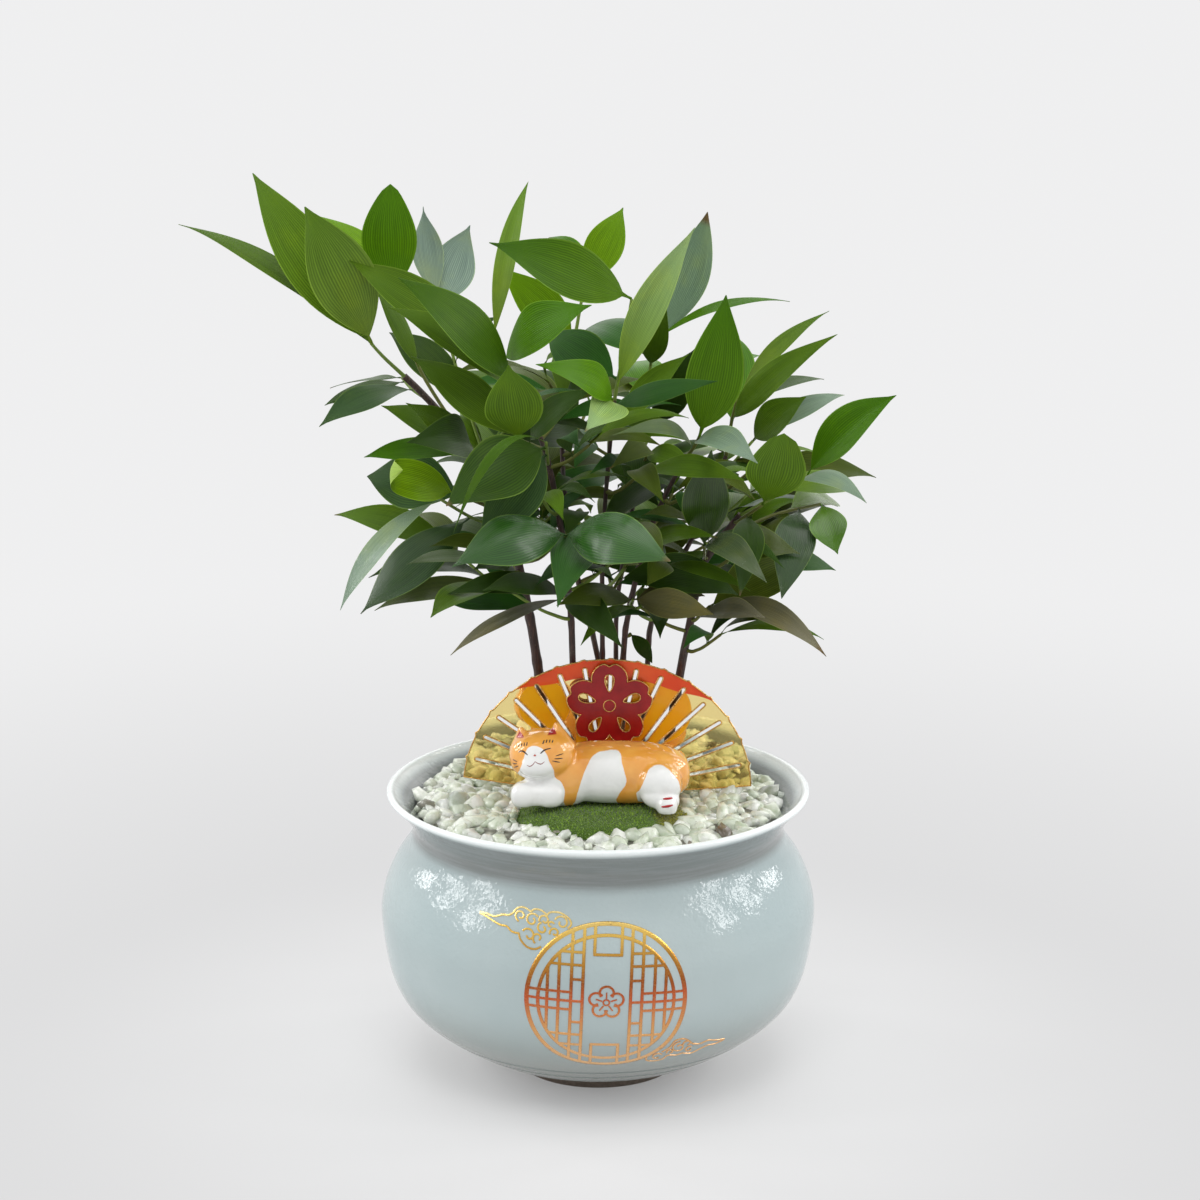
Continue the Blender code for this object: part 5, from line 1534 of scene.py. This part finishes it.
# The printed fruit: the middle and radius of each.
FRUIT = (((-0.0233, -0.005, 0.1655), 0.0115), ((0.026, -0.005, 0.163), 0.0150),
         ((0.006, -0.005, 0.150), 0.0160))


def fan_edge():
    """The fan's outline, with a small point where each slot ends."""
    edge = []
    for i in range(FAN_STEPS + 1):
        angle = FAN_ENDS[0] + (FAN_ENDS[1] - FAN_ENDS[0]) * i / FAN_STEPS
        points = sum(math.exp(-((angle - slot) / 0.8) ** 2) for slot in SLOTS)
        edge.append(polar(FAN_RADIUS + 0.8 * points, angle))
    return edge + [Vector(p) for p in ((-40, 3), (-12, 0), (14, -0.5), (38, 0.5))]


def slot_edge(angle):
    """A narrow slot with round ends."""
    along = polar(1, angle)
    across = Vector((-along.y, along.x))
    half = SLOT_WIDTH / 2
    loop = []
    for middle, start in ((SLOT_REACH[1] - half, -90), (SLOT_REACH[0] + half, 90)):
        for k in range(7):
            turn = math.radians(start + 30 * k)
            loop.append(along * (middle + half * math.cos(turn)) + across * half * math.sin(turn))
    return loop


def petal_edge():
    """Five round petals, each notched at its tip."""
    loop = []
    for degrees in range(0, 360, 2):
        turn = (degrees + 36) % 72 - 36
        lobe = 19.2 * (0.50 + 0.50 * max(0.0, math.cos(math.radians(turn * 2.3))) ** 0.5)
        notch = 1.6 * math.exp(-(turn / 5) ** 2)
        loop.append(polar(lobe - notch, degrees + 90))
    return loop


def opening_edge(degrees):
    """A drop-shaped opening in a petal."""
    loop = []
    for k in range(14):
        turn = math.tau * k / 14
        reach = 10.2 - 3.9 * math.cos(turn)
        wide = 1.9 * math.sin(turn) * (1 - 0.45 * math.cos(turn))
        along = polar(1, degrees)
        loop.append(along * reach + Vector((-along.y, along.x)) * wide)
    return loop


def upright(name, loops, centre, shape):
    """A closed mesh from flat loops in mm, stood upright with its middle at the centre."""
    data = bpy.data.curves.new(name, "CURVE")
    for key, value in shape.items():
        setattr(data, key, value)
    for loop in loops:
        spline = data.splines.new("POLY")
        spline.points.add(len(loop) - 1)
        for point, place in zip(spline.points, loop):
            point.co = (*(place * MM), 0, 1)
        spline.use_cyclic_u = True
    bm = bmesh.new()
    bm.from_mesh(baked(carrier_of(data, name), name))
    bmesh.ops.remove_doubles(bm, verts=bm.verts, dist=0.002 * MM)
    bmesh.ops.rotate(bm, verts=bm.verts, matrix=Matrix.Rotation(math.radians(90), 3, "X"))
    bmesh.ops.translate(bm, verts=bm.verts, vec=centre * MM)
    outward(bm)
    return bm


def flat_shape(thickness, bevel):
    """Settings for a plate whose edges are softened by the bevel, both in mm."""
    return {"dimensions": "2D", "fill_mode": "BOTH", "extrude": (thickness / 2 - bevel) * MM,
            "bevel_depth": bevel * MM, "bevel_resolution": 1, "offset": -bevel * MM}


def round_shape(radius):
    """Settings for a round bead along the loops, in mm."""
    return {"dimensions": "3D", "bevel_depth": radius * MM, "bevel_resolution": 1}


def printed_mirror():
    """Gold mirror where it isn't printed. The sheet bows a little, and so shows the stones before it."""
    sheet = Finish("printed_mirror", Specular_IOR_Level=0.3)
    place = sheet.place
    x, _, z = split(place)
    wave = reckon("SINE", x * 230.0) * 0.0006
    border = between(z + x * x * 4.2 + wave, 0.1772, 0.1776)
    printed = border
    body = (0.98, 0.80, 0.34)
    cloud = speckle(place, 70)
    fine = speckle(place, 500)
    body = blend(between(z, 0.150, 0.128), body, (0.98, 0.74, 0.25))
    for centre, radius in FRUIT:
        gap = put(sheet.tree, "ShaderNodeVectorMath", {0: place, 1: centre}, "Value", operation="DISTANCE")
        fruit = between(gap, radius, radius - 0.0005)
        printed = reckon("MAXIMUM", printed, fruit)
        body = blend(fruit, body, ramp(cloud, {0.3: (0.98, 0.38, 0.007), 0.6: (1.0, 0.50, 0.014)}))
    body = blend(border, body, ramp(cloud, {0.3: (0.84, 0.075, 0.016), 0.7: (0.98, 0.14, 0.028)}))
    bow = reckon("POWER", 0.19 - z, 2.0) * -31.0 + fine * 0.0003
    return sheet.made(body, bow, 0.04, Metallic=(1.0 - printed) * 0.92, Roughness=fine * 0.05)


def gold_edging():
    gold = Finish("gold_edging", Metallic=1.0)
    worn = speckle(gold.place, 500, 4)
    body = ramp(worn, {0.3: (0.50, 0.25, 0.06), 0.7: (0.90, 0.60, 0.22)})
    return gold.made(body, worn, 0.0001, Roughness=worn * 0.25 + 0.15)


def red_lacquer():
    lacquer = Finish("red_lacquer", Specular_IOR_Level=0.35)
    cloud = speckle(lacquer.place, 160)
    body = ramp(cloud, {0.3: (0.30, 0.007, 0.010), 0.7: (0.42, 0.012, 0.014)})
    return lacquer.made(body, speckle(lacquer.place, 900, 2), 0.00005, Roughness=cloud * 0.12 + 0.12)


def clear_acrylic():
    strip = Finish("clear_acrylic", Transmission_Weight=0.92, IOR=1.45)
    scuffs = speckle(strip.place, 380, 4)
    body = ramp(scuffs, {0.3: (0.90, 0.92, 0.92), 0.7: (0.96, 0.97, 0.97)})
    return strip.made(body, scuffs, 0.00003, Roughness=scuffs * 0.08)


fan_loops = [[place * FAN_STRETCH for place in loop]
             for loop in [fan_edge()] + [slot_edge(angle) for angle in SLOTS]]
petal_loops = [petal_edge()] + [opening_edge(90 + 72 * k) for k in range(5)]
stamen_loop = [polar(2.6, a) for a in range(0, 360, 20)]
gold = gold_edging()
fan_face = FAN_CENTRE - Vector((0, FAN_THICKNESS / 2, 0))
blossom_face = BLOSSOM_CENTRE - Vector((0, BLOSSOM_THICKNESS / 2 - 0.1, 0))
for name, loops, centre, shape, finish, *belongs in (
        ("fan_print", fan_loops, FAN_CENTRE, flat_shape(FAN_THICKNESS, 0.15), printed_mirror(),
         "amber_acrylic", "fan_plate"),
        ("fan_gold_edges", fan_loops, fan_face, round_shape(0.34), gold, "amber_acrylic"),
        ("lacquer_blossom", petal_loops, BLOSSOM_CENTRE, flat_shape(BLOSSOM_THICKNESS, 0.45), red_lacquer(),
         "red_plate", "fan_blossom"),
        ("blossom_gold_trim", petal_loops + [stamen_loop], blossom_face, round_shape(0.28), gold,
         "red_plate")):
    add_piece(name, upright(name, loops, centre, shape), finish, *belongs)
refinish("fan_stake", clear_acrylic())


# ---------------------------------------------------------------- the studio
# A pale floor that fades into a plain pale surround, a window of nine panes on each side, a broad
# lamp above and a weak one behind, and a camera a little above the pot's rim.

FLOOR_REACH = 9.0
SURROUND = (0.865, 0.865, 0.87)
# Painted shade: the surround's glow darkens towards the pot.
NEAR_SHADE = (0.72, 0.72, 0.725)
FLOOR_TONE = (0.78, 0.78, 0.785)
MIDDLE = Vector((0, 0, 0.2))


def seen_plainly(tree, share, lit, plain):
    """This share of the plain tone for eyes, mirrors and glass, and the lit surface for the lamps."""
    rays = put(tree, "ShaderNodeLightPath")
    seen = reckon("MAXIMUM", reckon("MAXIMUM", rays["Is Camera Ray"], rays["Is Glossy Ray"]),
                  rays["Is Transmission Ray"])
    return put(tree, "ShaderNodeMixShader", {0: seen * share, 1: Field(lit.outputs[0]), 2: plain}).socket


def floor_finish():
    """A pale matt floor; away from the pot the camera sees it as the plain surround."""
    matt = Finish("pale_floor", Base_Color=(*FLOOR_TONE, 1), Roughness=0.9)
    away = put(matt.tree, "ShaderNodeVectorMath", {0: matt.place}, "Value", operation="LENGTH")
    # Painted shade: the glow is darker near the pot and plain further away.
    tone = blend(between(away, 0.1, 1.0), NEAR_SHADE, SURROUND)
    plain = put(matt.tree, "ShaderNodeEmission", {"Color": tone, "Strength": 1.0})
    both = seen_plainly(matt.tree, between(away, -0.13, 0.31), matt.shader, plain)
    matt.tree.links.new(both, matt.tree.nodes["Material Output"].inputs["Surface"])
    return matt.material


floor_disc = bmesh.new()
bmesh.ops.create_circle(floor_disc, cap_ends=True, segments=64, radius=FLOOR_REACH)
floor = bpy.data.objects.new("floor", mesh_from(floor_disc, "floor"))
floor.data.materials.append(floor_finish())
bpy.context.scene.collection.objects.link(floor)

world = bpy.data.worlds.new("studio")
bpy.context.scene.world = world
world.use_nodes = True
sky = world.node_tree.nodes["Background"]
sky.inputs["Color"].default_value = (0.97, 0.97, 0.96, 1)
sky.inputs["Strength"].default_value = 0.5
surround = put(world.node_tree, "ShaderNodeBackground", {"Color": SURROUND, "Strength": 1.0})
shown = seen_plainly(world.node_tree, 1.0, sky, surround)
world.node_tree.links.new(shown, world.node_tree.nodes["World Output"].inputs["Surface"])


def lamp(name, place, size, power):
    light = bpy.data.lights.new(name, "AREA")
    light.shape = "RECTANGLE"
    light.size, light.size_y = size
    light.energy = power
    holder = bpy.data.objects.new(name, light)
    holder.location = place
    holder.rotation_euler = (MIDDLE - Vector(place)).to_track_quat("-Z", "Y").to_euler()
    bpy.context.scene.collection.objects.link(holder)
    return holder


for side, power in ((-1, 1.65), (1, 1.55)):
    for column in range(3):
        around = math.radians(72 + 23 * column)
        for row in range(3):
            place = (side * 1.5 * math.sin(around), -1.5 * math.cos(around), 0.62 + 0.36 * row)
            lamp(f"window_{side}_{column}_{row}", place, (0.3, 0.21), power)
lamp("overhead", (0.0, 0.1, 1.9), (1.5, 1.5), 10)
lamp("behind", (0.2, 1.6, 1.0), (1.6, 0.8), 5)
lamp("front", (0.0, -1.5, 2.2), (1.4, 1.0), 20).visible_glossy = False

camera = bpy.data.objects.new("camera", bpy.data.cameras.new("camera"))
camera.data.lens = 84.36
camera.data.sensor_width = 36
camera.location = (0.0009, -1.1845, 0.4953)
camera.rotation_euler = (math.radians(76.52), 0, 0)
bpy.context.scene.collection.objects.link(camera)
bpy.context.scene.camera = camera
bpy.context.scene.view_settings.view_transform = "Standard"
